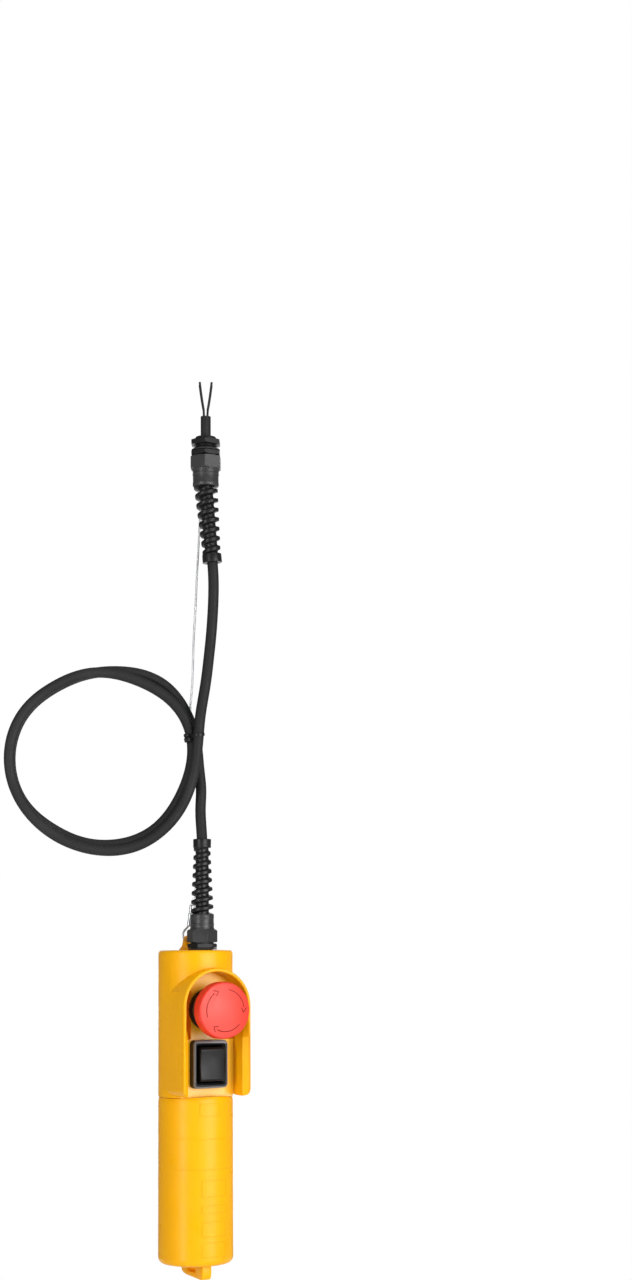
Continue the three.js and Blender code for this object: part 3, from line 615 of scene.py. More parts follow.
cable_curve = bpy.data.curves.new("control_cable", "CURVE")
cable_curve.dimensions = "3D"
cable_curve.bevel_depth = CABLE_R * MM
cable_curve.bevel_resolution = 8
cable_curve.use_fill_caps = True
spline = cable_curve.splines.new("POLY")
spline.points.add(len(cable_line) - 1)
for point, spot in zip(spline.points, cable_line):
    point.co = (*spot, 1)
spline.use_smooth = True
cable_curve.materials.append(FINISH["cable_jacket"])
control_cable = add_object("control_cable", cable_curve)
set_piece(control_cable, "cable_jacket", "cable_upper", "cable_lower", "cable_coil")


# -------- swept tubes and wire

def sweep(line, section, lay=0.0):
    """Tube of radius section(angle) along a line of world points, in metres; lay twists it."""
    sides = 18 if lay else 8
    tangents = [(b - a).normalized() for a, b in zip([line[0], *line], [*line[1:], line[-1]])]
    normal = tangents[0].orthogonal().normalized()
    rows = []
    run = 0.0
    for i, (spot, tangent) in enumerate(zip(line, tangents)):
        normal = (normal - tangent * normal.dot(tangent)).normalized()
        other = tangent.cross(normal)
        if i:
            run += (spot - line[i - 1]).length
        twist = 2 * math.pi * run / lay if lay else 0.0
        row = []
        for a in circle(sides):
            r = section(a)
            row.append(spot + normal * (r * math.cos(a + twist)) + other * (r * math.sin(a + twist)))
        rows.append(row)
    return stack(rows)


def wire_section(a):
    """Six strands round a core."""
    return WIRE_R * MM * (0.86 + 0.14 * abs(math.cos(3 * a)) ** 0.7)


def add_wire(name, line, *nodes):
    return add_piece(name, sweep(line, wire_section, lay=9 * MM), "wire_steel", *nodes,
                     frame=WORLD, angle=50)


wire_route = [*WIRE_UPPER, *wire_turns(), *reversed(WIRE_LOWER)]
wire_path = relaxed(smooth_line(wire_route, 1.0), 30)
wire_line = [coil_point(*p) for p in wire_path]
safety_wire = add_wire("safety_wire", wire_line, "safety_wire_upper", "safety_wire_lower",
                       "safety_wire_coil")


def add_sleeve(name, node, start, end):
    """Oval crimped sleeve with two pinches."""
    axis = (end - start).normalized()
    wide = (Vector((1, 0, 0)) - axis * axis.x).normalized()
    thin = axis.cross(wide)
    outline = [(0, 0.78), (0.02, 0.93), (0.06, 1), (0.28, 1), (0.33, 0.87), (0.4, 0.87), (0.45, 1),
               (0.58, 1), (0.63, 0.87), (0.7, 0.87), (0.75, 1), (0.94, 1), (0.98, 0.93), (1, 0.78)]
    rows = []
    for share, scale in outline:
        spot = start.lerp(end, share)
        rows.append([
            spot + (wide * 1.9 * math.cos(a) + thin * 1.45 * math.sin(a)) * scale * MM
            for a in circle(28)
        ])
    return add_piece(name, stack(rows), "aluminium", node, frame=WORLD, angle=40)


def wire_end(name, out, tip):
    """Loop closed by a sleeve that ends at tip; out is +1 where the sleeve is above the loop."""
    low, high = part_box(name + "_loop")
    centre = (low + high) / 2
    entry = centre + Vector((0, 0, 6.1 * out)) * MM
    radius = 5
    turns = [math.radians(a) for a in range(-140, 141, 14)]
    arc = [centre + Vector((radius * math.sin(a), 0, -radius * out * math.cos(a))) * MM
           for a in turns]
    ends = [entry + Vector((x, 0, z * out)) * MM
            for x, z in ((-0.8, 2.5), (-0.8, 0.3), (0.8, 0.3), (0.8, 2.5))]
    line = smooth_line([*ends[:2], *arc, *ends[2:]], 0.6 * MM)
    loop = add_wire(name + "_eye", line, name + "_loop")
    return [loop, add_sleeve(name + "_sleeve", name + "_ferrule", entry, tip)]


wire_pieces = [
    *wire_end("hoist_wire", -1, coil_point(-3.2, 14.6, -30.1)),
    *wire_end("pendant_wire", 1, coil_point(-9.7, 17.75, -322.4)),
]

# -------- cable tie

def crossings(line, angle):
    """Radius and depth wherever a line of (side, behind, height) crosses the coil's angle."""
    found = []
    spots = []
    for p in line:
        side, height = p[0] - COIL_CENTRE[0], p[2] - COIL_CENTRE[1]
        spots.append((side * math.cos(angle) + height * math.sin(angle), p[1],
                      height * math.cos(angle) - side * math.sin(angle)))
    for a, b in zip(spots, spots[1:]):
        if a[2] * b[2] <= 0 and a[0] > 0 and a[2] != b[2]:
            t = a[2] / (a[2] - b[2])
            found.append((a[0] + (b[0] - a[0]) * t, a[1] + (b[1] - a[1]) * t))
    return found


def make_tie():
    """Band drawn round all the strands, with a two-lump ratchet head on the inside."""
    angle = 0.235                      # radians above the coil's level, on its right
    rim = []
    for path, reach in ((cable_path, CABLE_R + 0.05), (wire_path, WIRE_R + 0.05)):
        for radius, behind in crossings(path, angle):
            for a in circle(48):
                rim.append(Vector((radius + reach * math.cos(a), behind + reach * math.sin(a))))
    hull = [rim[i] for i in geometry.convex_hull_2d(rim)]
    if sum(a.cross(b) for a, b in zip(hull, hull[1:] + hull[:1])) < 0:
        hull.reverse()
    count = len(hull)
    section = rounded([(0, -1.3), (0.55, -1.3), (0.55, 1.3), (0, 1.3)], 0.2, 2, True)
    rows = []
    for i, spot in enumerate(hull):
        along = (hull[(i + 1) % count] - hull[i - 1]).normalized()
        rows.append([(spot.x + along.y * d, spot.y - along.x * d, w) for d, w in section])
    band = stack(rows, looped=True)
    inner = min(p.x for p in hull)
    near = min(p.y for p in hull)
    head = rounded_box(inner - 1.6, inner + 2.6, near + 1.8, near + 7, -3.1, 0.1, 0.7)
    lump = rounded_box(inner - 1.2, inner + 2.2, near + 2.6, near + 7, 0.4, 3.0, 0.8)
    turn = Matrix.Translation(coil_point(COIL_CENTRE[0], 0, COIL_CENTRE[1])) @ Matrix((
        (SIDE.x * math.cos(angle), BACK.x, -SIDE.x * math.sin(angle)),
        (SIDE.y * math.cos(angle), BACK.y, -SIDE.y * math.sin(angle)),
        (math.sin(angle), 0, math.cos(angle)),
    )).to_4x4() @ Matrix.Scale(MM, 4)
    return add_piece("tie_band", joined(band, head, lump), "black_plastic", "cable_tie",
                     finish="gland_nylon", frame=turn)


tie_band = make_tie()

# -------- cable glands

def helical(reach, z0, z1, step, sides=72):
    """Solid whose radius is reach(height, turn), turn from 0 to 1 round it."""
    count = max(2, round((z1 - z0) / step))
    rows = []
    for i in range(count + 1):
        z = z0 + (z1 - z0) * i / count
        radii = [reach(z, k / sides) for k in range(sides)]
        rows.append([(r * math.cos(a), r * math.sin(a), z) for r, a in zip(radii, circle(sides))])
    return stack(rows)


def plateau(phase, share, slope):
    """1 on the crest of a rib, 0 in its groove; phase, share and slope count whole pitches."""
    off = abs(phase % 1 - 0.5)
    t = min(1, max(0, (share / 2 + slope - off) / slope))
    return t * t * (3 - 2 * t)


def hexagon(half, z0, z1, facet, chamfer):
    """Nut or bolt hexagon with turned chamfers; facet is the direction a flat faces, degrees."""
    corner = half / math.cos(math.pi / 6)
    angles = [math.radians(facet + 30 + 60 * k) for k in range(6)]
    bar = flat_prism([(corner * math.cos(a), corner * math.sin(a)) for a in angles], z0, z1)
    low, high = chamfer
    cone = lathe([
        (0, z0 - 1), (half + 0.1, z0 - 1), (half + 0.1, z0), (corner + 0.1, z0 + low),
        (corner + 0.1, z1 - high), (half + 0.1, z1), (half + 0.1, z1 + 1), (0, z1 + 1),
    ], 96)
    return common(bar, cone)


COLLAR = 6.2                            # length of the bend protector's end


def rib_radius(start, span, crests, pitch, phase):
    """Moulded spiral of the bend protector, smaller towards its end."""
    def reach(z, turn):
        along = min(1, max(0, (z - start) / span))
        crest = crests[0] + (crests[1] - crests[0]) * along
        valley = 4.75 - 0.2 * along
        rib = plateau((z - start) / pitch - turn - phase, 0.3, 0.2)
        return valley + (crest - valley) * rib
    return reach


def compression_nut(length, start, lean, facet, half, wide, crests, pitch, phase):
    """Nut of half a hexagon's width, a neck, and a bend protector from start that may lean."""
    bore = CABLE_R + 0.5
    collar_low = length - COLLAR
    nut = hexagon(half, 5.3, 14.4, facet, (0.5, 1.1))
    steps = [(0.4, 13), (0.4, 14.9), (0, 15.4), (-0.05, 17.2), (0.15, 17.5), (0.15, 18.3),
             (-0.1, 18.6), (-0.15, start - 3), (0, start - 2.7), (0, start - 0.8), (-0.5, start)]
    neck = lathe([(0, 13), *[(wide + out, z) for out, z in steps], (0, start)], 72)
    reach = rib_radius(start, collar_low - start, crests, pitch, phase)
    spiral = helical(reach, start - 1.5, collar_low + 1, 0.4)
    end = crests[1] + 0.4
    collar = lathe(rounded([(0, collar_low), (end, collar_low), (end + 0.1, length), (0, length)],
                           [0, 0.5, 0.5, 0], 3), 72)
    tip = (Matrix.Translation((0, 0, start)) @ Matrix.Rotation(lean, 4, "Y")
           @ Matrix.Translation((0, 0, -start)))
    whole = minus(
        union(nut, neck, moved(union(spiral, collar), tip)),
        rod(8.6, 5, 13.2), rod(bore, 0, start + 1, 32),
        moved(rod(bore, start - 1, length + 1, 32), tip),
    )
    for face in whole.faces:
        # faces of the nut and neck take the second finish, the nylon painted lighter as a painted
        # highlight
        face.material_index = int(face.calc_center_median().z < start)
    return whole


def thread_radius(z, turn):
    rib = plateau(z / 1.5 - turn, 0.15, 0.35)
    fade = min(1, max(0, (z + 9) / 1.2))
    return 7.15 + 0.75 * rib * fade


def make_gland(prefix, frame, base_facet, base_half, nut):
    """The gland's compression nut with the bend protector, its threaded body and its lock nut."""
    def add(name, bm, node, second=None):
        return add_piece(prefix + name, bm, "black_plastic", prefix + node, finish="gland_nylon",
                         second=second, frame=frame)

    body = minus(
        union(helical(thread_radius, -9, 1.2, 0.15, 48),
              hexagon(base_half, 1.5, 4.6, base_facet, (0.3, 0.6)),
              rod(8.1, 1, 12.6)),
        rod(CABLE_R + 0.3, -10, 8, 32), rod(5.8, 6, 13),
    )
    locknut = minus(hexagon(9.9, -6.8, -3.2, base_facet, (0.5, 0.5)), rod(8.2, -8, 0))
    spiral_nut = add("_spiral_nut", compression_nut(**nut), "_nut", "nut_nylon_painted_highlight")
    return [add("_threaded_body", body, "_body"), spiral_nut,
            add("_hex_locknut", locknut, "_locknut")]


make_gland("pendant_gland", LOWER_GLAND, 254.6, 9.1, dict(
    length=77.4, start=25, lean=0, facet=235, half=9.25, wide=8.25, crests=(8.1, 5.8),
    pitch=6.2, phase=0.42))
hoist_pieces = make_gland("hoist_gland", UPPER_GLAND, 3.5, 9.9, dict(
    length=81.4, start=26.7, lean=0.085, facet=3.5, half=10.4, wide=9.25, crests=(8.5, 6.4),
    pitch=6.8, phase=0))

# -------- cord lengths and end points, worked out and not used

length_of(cable_line)
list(hoist_pieces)
coil_point(*WIRE_LOWER[0])
length_of(wire_line)
[tuple(p) for p in reversed(wire_line)]

# -------- head housing

BODY_R = 26
WALL = 2.6
INNER_R = BODY_R - WALL
SPIGOT_R = 23                           # the head's spigot in the handle
SPIGOT_BORE = 20.8
SPIGOT_LOW = -119
CEILING_Z = -2.8                        # underside of the head's top wall
SEAM_Z = -101.3
HOOD_FRONT = -33.5
HOOD_BOTTOM = -100.2
ARCH_Z = -38.4                          # centre of the hood's round top
PANEL_Y = -17
PANEL_BACK = -14.5
ROCKER_HALF = 20.8                      # half the recess beside the rocker
POCKET_INNER = 12.3
POCKET_WALL = 1.7
POCKET_BOTTOM = -61.5
STOP_Z = -41
ROCKER_Z = -78.3
SCREW_Z = -113.8
SCREW_ANGLES = {"left": -125, "right": 125}   # degrees round from the panel side


def arch(half, bottom, corner=0.0, steps=48):
    """Outline in X and Z: straight sides and a half-round top."""
    top = [(half * math.cos(math.pi * k / steps), ARCH_Z + half * math.sin(math.pi * k / steps))
           for k in range(steps + 1)]
    base = [(-half, ARCH_Z - 1), (-half, bottom), (half, bottom), (half, ARCH_Z - 1)]
    return [*rounded(base, corner, 8)[1:-1], *top]


def arch_stack(rows, bottom, corner=0.0):
    """Arch solid whose half width changes along Y: rows of (y, half)."""
    return stack([[(x, y, z) for x, z in arch(half, bottom, corner)] for y, half in rows])


def keyhole_stack(rows, bottom):
    """Arch that narrows below its middle: rows of (y, upper half, lower half)."""
    upper_z, lower_z = -47, -60
    outlines = []
    for y, upper, lower in rows:
        top = arch(upper, bottom)[2:]
        outline = [(-lower, bottom), (lower, bottom), (lower, lower_z), (upper, upper_z), *top,
                   (-upper, upper_z), (-lower, lower_z)]
        outlines.append([(x, y, z) for x, z in outline])
    return stack(outlines)


def head_solid():
    """The head's tube with its spigot and hood, before it is hollowed."""
    body = lathe(
        rounded([(0, SPIGOT_LOW), (SPIGOT_R, SPIGOT_LOW), (SPIGOT_R, SEAM_Z), (BODY_R, SEAM_Z),
                 (BODY_R, 0), (0, 0)], [0, 0.8, 0, 0.5, 2.8, 0], 6), 144)
    rim = [(0, BODY_R), (HOOD_FRONT + 1.4, BODY_R), (HOOD_FRONT + 0.8, BODY_R - 0.1),
           (HOOD_FRONT + 0.3, BODY_R - 0.4), (HOOD_FRONT, BODY_R - 0.9)]
    lower = rounded(
        [(6, 4), (HOOD_FRONT - 1, 4), (HOOD_FRONT - 1, -76), (HOOD_FRONT, -79),
         (HOOD_FRONT, HOOD_BOTTOM), (PANEL_Y + 1, HOOD_BOTTOM), (6, HOOD_BOTTOM + 9)],
        [0, 0, 0, 0, 3.5, 7, 0], 8, True)
    hood = common(arch_stack(rim, HOOD_BOTTOM - 0.1, 6), side_prism(lower, -30, 30))
    return union(body, hood)


def screw_hole(radius, y0, y1, sides, angle):
    return turned_about(rod(radius, y0, y1, sides, "Y", (0, 0, SCREW_Z)), angle)


def behind_panel():
    return box(-30, 30, PANEL_BACK, 30, -150, 5)


def mirrored(side, x0, x1):
    return sorted((side * x0, side * x1))


def head_shell():
    """Shell with the panel's recesses, the finger pockets, the gland's hole and a seal groove."""
    stop_recess = keyhole_stack(
        [(PANEL_Y, INNER_R - 0.5, ROCKER_HALF), (PANEL_Y - 0.5, INNER_R, ROCKER_HALF),
         (-29.9, INNER_R, ROCKER_HALF), (-32.3, INNER_R, 23.7), (-33.0, INNER_R + 0.25, 24.5),
         (-33.6, INNER_R + 0.8, 24.7), (-41, 24.6, 25)], POCKET_BOTTOM)
    wing = rounded(
        [(ROCKER_HALF, PANEL_Y), (ROCKER_HALF, -29.9), (24.7, -32.9), (25, -41)],
        [0, 0.8, 0.8, 0], 4)
    rocker_recess = flat_prism([*wing, *[(-x, y) for x, y in reversed(wing)]],
                               SEAM_Z - 1, POCKET_BOTTOM + 1.5)
    shell = minus(
        head_solid(), stop_recess, rocker_recess,
        common(rod(INNER_R, SEAM_Z - 2, CEILING_Z, 96), behind_panel()),
        rod(INNER_R, ARCH_Z + BODY_R + 0.4, CEILING_Z, 96),
        rod(SPIGOT_BORE, SPIGOT_LOW - 1, SEAM_Z - 2.7, 96),
        common(rod(SPIGOT_BORE, SEAM_Z - 5, SEAM_Z + 5, 96), behind_panel()),
    )
    walls = []
    pockets = []
    for side in (-1, 1):
        x0, x1 = mirrored(side, POCKET_INNER - POCKET_WALL, INNER_R)
        walls.append(common(box(x0, x1, PANEL_Y, -4, POCKET_BOTTOM - 1.4, -20.5),
                            rod(INNER_R + 0.5, -90, -10, 96)))
        x0, x1 = mirrored(side, POCKET_INNER, INNER_R)
        pockets.append(common(
            rounded_box(x0, x1, PANEL_Y - 3, -6, POCKET_BOTTOM, -22.5, 0.8),
            arch_stack([(PANEL_Y - 2, INNER_R), (-5, INNER_R)], SEAM_Z)))
    stop_hole = rod(9.2, -20, -10, 64, "Y", (0, 0, STOP_Z))
    rocker_hole = box(-12.3, 12.3, -20, -10, ROCKER_Z - 15.3, ROCKER_Z + 15.3)
    gland_hole = moved(rod(8.2, -5, 5), Matrix.Translation((0, GLAND_Y, 0)))
    seal_groove = ring(21.6, 26.5, -110.2, -107.8, 0.2, 96)
    screw_holes = [screw_hole(1.5, -30, -12, 24, angle) for angle in SCREW_ANGLES.values()]
    return minus(union(shell, *walls), *pockets, stop_hole, rocker_hole, gland_hole, seal_groove,
                 *screw_holes)


def head_with_panel():
    """The head, with the flat of its panel as its second finish: glossier, and painted lighter as
    painted light on the panel.
    """
    shell = head_shell()
    shell.normal_update()
    for face in shell.faces:
        spot = face.calc_center_median()
        flat = abs(face.normal.y) > 0.999 and abs(spot.y - PANEL_Y) < 0.2
        # the panel's flat takes the lighter yellow, painted light
        face.material_index = int(flat and abs(spot.x) < 22)
    return shell


add_piece("head_shell", head_with_panel(), "yellow_plastic", "head_housing",
          second="panel_yellow_painted_light", angle=28)


def wire_lug():
    """Fin with an eye for the safety wire, behind the gland."""
    outline = rounded(
        [(3.5, -1.5), (22.3, -1.5), (22, 0.6), (16.6, 3.2), (15.6, 9.4), (8, 10.6), (4.2, 9.0),
         (3.5, 5)], [0, 0, 1.5, 3, 3.5, 2, 2, 1], 5, True)
    fin = minus(side_prism(outline, -2, 2), rod(2.6, -5, 5, 32, "X", (0, 9.5, 5.6)))
    return beveled(fin, 0.5)


add_piece("wire_lug", wire_lug(), "yellow_plastic")

# -------- handle

BOTTOM_Z = -215.4


def handle_shell():
    """Tube with a rounded-over top edge, whose front rises as a crescent lip over the panel."""
    top = SEAM_Z - 0.3
    shoulder_low = -106
    lip_top = -100.4

    def shoulder(until, steps=10):
        """Elliptical round-over of the tube's top edge, up to a height."""
        spots = []
        for k in range(steps + 1):
            z = shoulder_low + (until - shoulder_low) * k / steps
            rise = (z - shoulder_low) / (lip_top - shoulder_low)
            spots.append((BODY_R - 1.6 * (1 - math.sqrt(max(0, 1 - rise * rise))), z))
        return spots

    shell = lathe([
        (0, BOTTOM_Z),
        *rounded([(16, BOTTOM_Z), (BODY_R, BOTTOM_Z), (BODY_R, -200)], [0, 5, 0], 8),
        *shoulder(top, 5), (INNER_R, top), (INNER_R, BOTTOM_Z + 4.5),
        (INNER_R - 1.6, BOTTOM_Z + 2.8), (0, BOTTOM_Z + 2.8),
    ], 144)
    crest = [(0, -107), (BODY_R, -107), *shoulder(lip_top, 14), (0, lip_top)]
    half = 19.2
    shares = [1 - 2 * k / 24 for k in range(25)]
    rise = [(half * share, top + (lip_top - top) * (1 - share ** 2)) for share in shares]
    dome = front_prism([(-half, top - 1.5), (half, top - 1.5), *rise], -BODY_R - 1, -17.4)
    lip = minus(common(lathe(crest, 144), dome), rod(INNER_R + 0.3, -108, SEAM_Z + 0.3, 96))
    cuts = []
    for angle in SCREW_ANGLES.values():
        cuts += [screw_hole(2.1, -30, -20, 24, angle), screw_hole(3.7, -30, -24.4, 32, angle)]
    return minus(union(shell, lip), *cuts)


add_piece("handle_shell", handle_shell(), "yellow_plastic", "handle_tube", angle=28)


def bottom_lug():
    """Slotted lug under the handle, for a hook or a cord."""
    def under(points):
        return [(y, BOTTOM_Z + z) for y, z in points]

    outline = rounded(
        under([(-16.7, 1.5), (-17.4, -5.5), (-15.8, -10.4), (-8.5, -9.8), (8.5, -9.2),
               (15.2, -7.8), (17, 1.5)]), [0, 2.5, 4.5, 3, 4, 5, 0], 6, True)
    slot = rounded(under([(-6.1, -6.2), (-6.1, -1.2), (6.6, -1.2), (6.6, -6.2)]), 1.8, 4, True)
    return beveled(minus(side_prism(outline, -3.5, 3.5), side_prism(slot, -6, 6)), 1.1)


add_piece("bottom_lug", bottom_lug(), "yellow_plastic")


def curved_bar(turn0, turn1, z0, z1):
    """Bar that lies round the handle between two angles, degrees from the panel side."""
    sunk, proud = BODY_R - 0.3, BODY_R + 0.16
    steps = max(2, round(abs(turn1 - turn0) / 3))
    section = [(sunk, z0), (proud - 0.08, z0), (proud, z0 + 0.1), (proud, z1 - 0.1),
               (proud - 0.08, z1), (sunk, z1)]
    rows = []
    for k in range(steps + 1):
        a = math.radians(-90 + turn0 + (turn1 - turn0) * k / steps)
        rows.append([(r * math.cos(a), r * math.sin(a), z) for r, z in section])
    return stack(rows)


def blank_frames():
    """Raised rules and empty label frames on the front of the handle."""
    line = 0.6
    bars = [curved_bar(-57, 50, z - line / 2, z + line / 2) for z in (-129.0, -149.7)]
    frames = [(-21, 12, -113.8, -104.8), (-18, 26, -168.3, -156.6), (-18, 26, -179.3, -173.8),
              (-18, 26, -195.2, -184.9), (-18, 26, -209, -198.7)]
    width = math.degrees(line / BODY_R)
    for left, right, low, high in frames:
        inside = (low + line, high - line)
        bars += [curved_bar(left, right, low, inside[0]), curved_bar(left, right, inside[1], high),
                 curved_bar(left, left + width, *inside), curved_bar(right - width, right, *inside)]
    return joined(*bars)


add_piece("blank_frames", blank_frames(), "yellow_plastic")


def cross_screw():
    """Pan head with a cross recess, and its shank."""
    screw = lathe(
        [(0, -25.7), (1.6, -25.6), (2.6, -25.3), (3.1, -24.9), (3.2, -24.7), (1.2, -24.7),
         (1.2, -16.5), (0, -15.5)], 40, "Y", (0, 0, SCREW_Z))
    arms = [rounded_box(-1.7, 1.7, -26, -24.9, SCREW_Z - 0.35, SCREW_Z + 0.35, 0.05),
            rounded_box(-0.35, 0.35, -26, -24.9, SCREW_Z - 1.7, SCREW_Z + 1.7, 0.05)]
    return minus(screw, *arms)


for side, angle in SCREW_ANGLES.items():
    add_piece("cross_screw_" + side, turned_about(cross_screw(), angle), "spring_steel",
              "tube_screw_" + side)

# -------- emergency stop

STOP = (0, 0, STOP_Z)
MUSHROOM_R = 19.5
MUSHROOM_FRONT = -46


def face_y(r):
    """Domed front of the button at a radius."""
    return MUSHROOM_FRONT + 1.9 * (r / 18) ** 2


def stop_button():
    """Mushroom with a domed face, hollow behind for its stem."""
    front = [(r, face_y(r)) for r in (0, 2, 4, 6, 8, 10, 12, 13.5, 15, 16.2, 17)]
    rim = rounded([(17.4, face_y(17.4)), (18.9, face_y(18.5)), (MUSHROOM_R, -41.9),
                   (MUSHROOM_R, -36.2), (17.9, -33.3), (11.5, -32.2), (9.4, -30.5), (5.8, -30.5)],
                  [0, 0.8, 1.2, 0.8, 0.6, 1, 0.6, 0], 5)
    return lathe([*front, *rim, (5, -31.2), (5, -38.6), (0, -38.6)], 128, "Y", STOP)


add_piece("stop_button", stop_button(), "red_plastic", "estop_mushroom", body="estop_head")


def on_face(angle, radius):
    a = math.radians(angle)
    return HANDLE @ Vector((radius * math.cos(a), face_y(radius), STOP_Z + radius * math.sin(a)))


def stop_arrows():
    """Three thin arrows round the face, clockwise: an arc and an open head each."""
    lines = []
    for start, end in ((198, 130), (80, 12), (318, 248)):
        lines.append([on_face(a, 14.3) for a in range(start, end - 6, -2)])
        corners = [(end - 5, 12.1), (end - 18, 13.9), (end - 6, 16.2)]
        head = [on_face(*corners[0])]
        for (a0, r0), (a1, r1) in zip(corners, corners[1:]):
            head += [on_face(a0 + (a1 - a0) * t, r0 + (r1 - r0) * t) for t in (0.33, 0.67, 1)]
        lines.append(head)
    return joined(*[sweep(line, lambda a: 0.26 * MM) for line in lines])


add_piece("stop_arrows", stop_arrows(), "red_plastic", body="estop_head", finish="dark_red_line",
          frame=WORLD)


def stop_collar():
    """Flange and threaded barrel, hollow for the stem and its spring."""
    outline = rounded(
        [(4.6, 2.6), (8.8, 2.6), (8.8, -18.4), (14.5, -18.4), (14.5, -21), (13.9, -21.7),
         (10.2, -21.7), (10.2, -20.2), (7.6, -20.2), (7.6, 0.6), (4.6, 0.6)],
        [0.3, 0.3, 0, 0.3, 0.5, 0.4, 0.3, 0, 0.3, 0, 0.3], 3, True)
    return lathe(outline, 96, "Y", STOP, closed=True)


add_piece("stop_collar", stop_collar(), "black_plastic", "estop_body", finish="satin_black")


def grip_ring():
    """Grey ring with shallow notches round its edge."""
    notches = []
    for degrees in (45, 135, 225, 315):
        a = math.radians(degrees)
        notches.append(rod(1.2, -26, -23.4, 24, "Y",
                           (14.1 * math.cos(a), 0, STOP_Z + 14.1 * math.sin(a))))
    return minus(ring(10.6, 13.7, -24.6, -22, 0.5, 96, "Y", STOP), *notches)


add_piece("grip_ring", grip_ring(), "grey_plastic", "estop_ring")


def spring_coil():
    """Return spring round the stem of the stop button."""
    turns, front, back, radius = 5.5, -14.7, 0.0, 5.95
    line = []
    for k in range(round(turns * 20) + 1):
        share = k / (turns * 20)
        a = 2 * math.pi * turns * share
        line.append(HANDLE @ Vector((radius * math.cos(a), front + (back - front) * share,
                                     STOP_Z + radius * math.sin(a))))
    return sweep(line, lambda a: 0.45 * MM)


stop_spring = add_piece("stop_spring", spring_coil(), "spring_steel", "estop_spring", frame=WORLD)
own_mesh(stop_spring)

# -------- rocker switch

POLE_X = 5.35
TAB_Z = (8.4, 0, -8.4)
PIVOT_Y = -18


def rounded_rectangle(half_x, half_z, corner, inset):
    hx, hz, r = half_x - inset, half_z - inset, max(0.2, corner - inset)
    spots = []
    for x, z, start in ((1, 1, 0), (-1, 1, 90), (-1, -1, 180), (1, -1, 270)):
        for k in range(7):
            a = math.radians(start + 15 * k)
            spots.append((x * (hx - r) + r * math.cos(a), z * (hz - r) + r * math.sin(a)))
    return spots


def inset_stack(half_x, half_z, corner, rows):
    """Rounded rectangle that shrinks along Y, about the rocker's middle: rows of (y, inset)."""
    return stack([
        [(x, y, ROCKER_Z + z) for x, z in rounded_rectangle(half_x, half_z, corner, inset)]
        for y, inset in rows
    ])


def switch_bezel():
    """Frame with a sloping opening, slots for the tabs and a painted highlight on its rim as its
    second finish.
    """
    outside = inset_stack(13.2, 16.4, 3, [
        (-17.3, 0), (-22.3, 0), (-23.0, 0.15), (-23.4, 0.5), (-23.6, 1.1)])
    opening = inset_stack(12.2, 15.2, 2.6, [
        (-23.7, 0.9), (-23.5, 1.0), (-21.6, 2.3), (-21.3, 2.45), (-14, 2.45)])
    body = box(-12, 12, -20.6, 4, ROCKER_Z - 15, ROCKER_Z + 15)
    cuts = [opening, box(-10.2, 10.2, -20, -3, ROCKER_Z - 13.3, ROCKER_Z + 13.3),
            rod(1.9, -11.2, 11.2, 32, "X", (0, PIVOT_Y, ROCKER_Z))]
    for x in (-POLE_X, POLE_X):
        for z in TAB_Z:
            cuts.append(box(x - 3.4, x + 3.4, -6, 6, ROCKER_Z + z - 0.7, ROCKER_Z + z + 0.7))
    bezel = minus(union(outside, body), *cuts)
    for face in bezel.faces:
        spot = face.calc_center_median()
        flat = abs(spot.x) < 11.1 and abs(spot.z - ROCKER_Z) < 14.1
        # the front rim faces outside the opening take the light grey painted highlight
        face.material_index = int(spot.y < -22.2 and not flat)
    return bezel


add_piece("switch_bezel", switch_bezel(), "black_plastic", "rocker_frame", finish="satin_black",
          second="bezel_rim_painted_highlight")


def rocker_cap():
    """Concave rocker with its pins and the housings of its two springs."""
    z = ROCKER_Z
    dish = [(-27 + 1.15 * (1 - (k / 5) ** 2), z + 10.2 * k / 5) for k in range(5, -6, -1)]
    outline = rounded(
        [*dish, (-25.5, z - 11.7), (-19.5, z - 11.9), (-17, z - 10.2), (-15.4, z - 3),
         (-15.4, z + 3), (-17, z + 10.2), (-19.5, z + 11.9), (-25.5, z + 11.7)],
        [0.8] + [0] * 9 + [0.8, 1, 0.5, 0.5, 0.5, 0.5, 0.5, 0.5, 1], 4, True)
    cap = beveled(side_prism(outline, -9.5, 9.5), 0.6)
    pins = rod(1.6, -10.9, 10.9, 32, "X", (0, PIVOT_Y, z))
    return union(cap, pins, *[rod(2.2, -17, -11, 32, "Y", (x, 0, z)) for x in (-POLE_X, POLE_X)])


add_piece("rocker_cap", rocker_cap(), "black_plastic", "rocker_actuator", body="rocker")

# -------- studio

def soft_box(name, azimuth, elevation, distance, size, power):
    """Lamp turned to the handle; azimuth 0 is in front of the panel, positive to the right."""
    a, e = math.radians(azimuth), math.radians(elevation)
    data = bpy.data.lights.new(name, "AREA")
    data.shape = "RECTANGLE"
    data.size, data.size_y = size
    data.energy = power
    lamp = add_object(name, data)
    lamp.location = HANDLE @ Vector((0, 0, -80)) + distance * Vector((
        math.sin(a) * math.cos(e), -math.cos(a) * math.cos(e), math.sin(e)))
    look = HANDLE @ Vector((0, 0, -60)) - lamp.location
    lamp.rotation_euler = look.to_track_quat("-Z", "Y").to_euler()


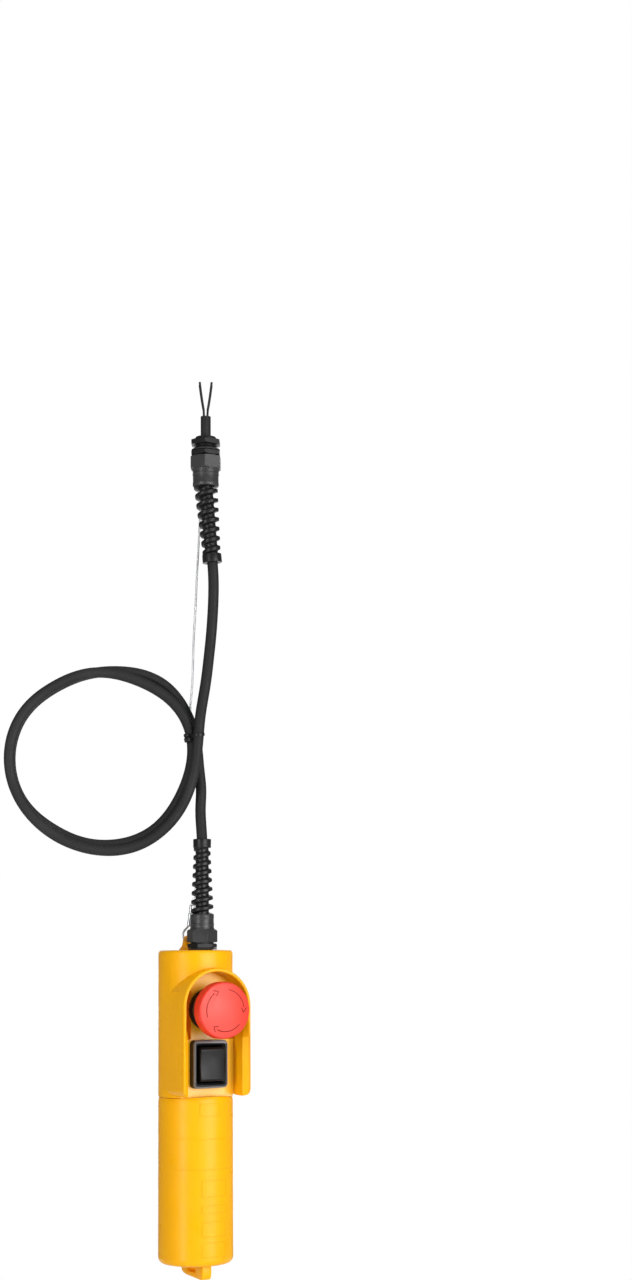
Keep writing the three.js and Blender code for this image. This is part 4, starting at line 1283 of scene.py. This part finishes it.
soft_box("key", 22, 4, 1.7, (0.8, 1.5), 16)
soft_box("front", 2, 8, 1.6, (0.7, 0.6), 8)
soft_box("fill", -66, 5, 1.8, (0.5, 1.5), 14)
soft_box("top", 10, 70, 1.6, (1.2, 1.2), 5)
soft_box("back", 153, 10, 1.8, (1.2, 1.4), 8)


def make_world():
    """White to the eye, softer as a light."""
    world = bpy.data.worlds.new("studio")
    bpy.context.scene.world = world
    nodes, links = empty_tree(world)
    out = nodes.new("ShaderNodeOutputWorld")
    mix = nodes.new("ShaderNodeMixShader")
    ray = nodes.new("ShaderNodeLightPath")
    links.new(ray.outputs["Is Camera Ray"], mix.inputs[0])
    for k, strength in ((1, 0.2), (2, 1.0)):
        backdrop = set_inputs(nodes.new("ShaderNodeBackground"), {
            "Color": (1, 1, 1, 1), "Strength": strength,
        })
        links.new(backdrop.outputs[0], mix.inputs[k])
    links.new(mix.outputs[0], out.inputs[0])


def make_floor():
    """Pale round floor far below the hanging station, fading into the white."""
    made = bpy.data.materials.new("pale_floor")
    made.use_nodes = True
    nodes = made.node_tree.nodes
    links = made.node_tree.links
    out = nodes["Material Output"]
    shader = set_inputs(nodes["Principled BSDF"], {
        "Base Color": (0.86, 0.86, 0.86, 1), "Roughness": 0.6,
    })
    glow = set_inputs(nodes.new("ShaderNodeEmission"), {"Strength": 1.0})
    place = nodes.new("ShaderNodeTexCoord")
    length = nodes.new("ShaderNodeVectorMath")
    length.operation = "LENGTH"
    fade = set_inputs(nodes.new("ShaderNodeMapRange"), {"From Min": 0.8, "From Max": 4.2})
    mix = nodes.new("ShaderNodeMixShader")
    links.new(place.outputs["Object"], length.inputs[0])
    links.new(length.outputs["Value"], fade.inputs["Value"])
    links.new(fade.outputs[0], mix.inputs[0])
    links.new(shader.outputs[0], mix.inputs[1])
    links.new(glow.outputs[0], mix.inputs[2])
    links.new(mix.outputs[0], out.inputs[0])
    slab = rod(4.6, -1.72, -1.7, 96)
    floor = link("floor", slab, made, Matrix.Translation((AXIS_X, AXIS_Y, 0)))


make_world()
make_floor()
bpy.context.scene.view_settings.view_transform = "Standard"
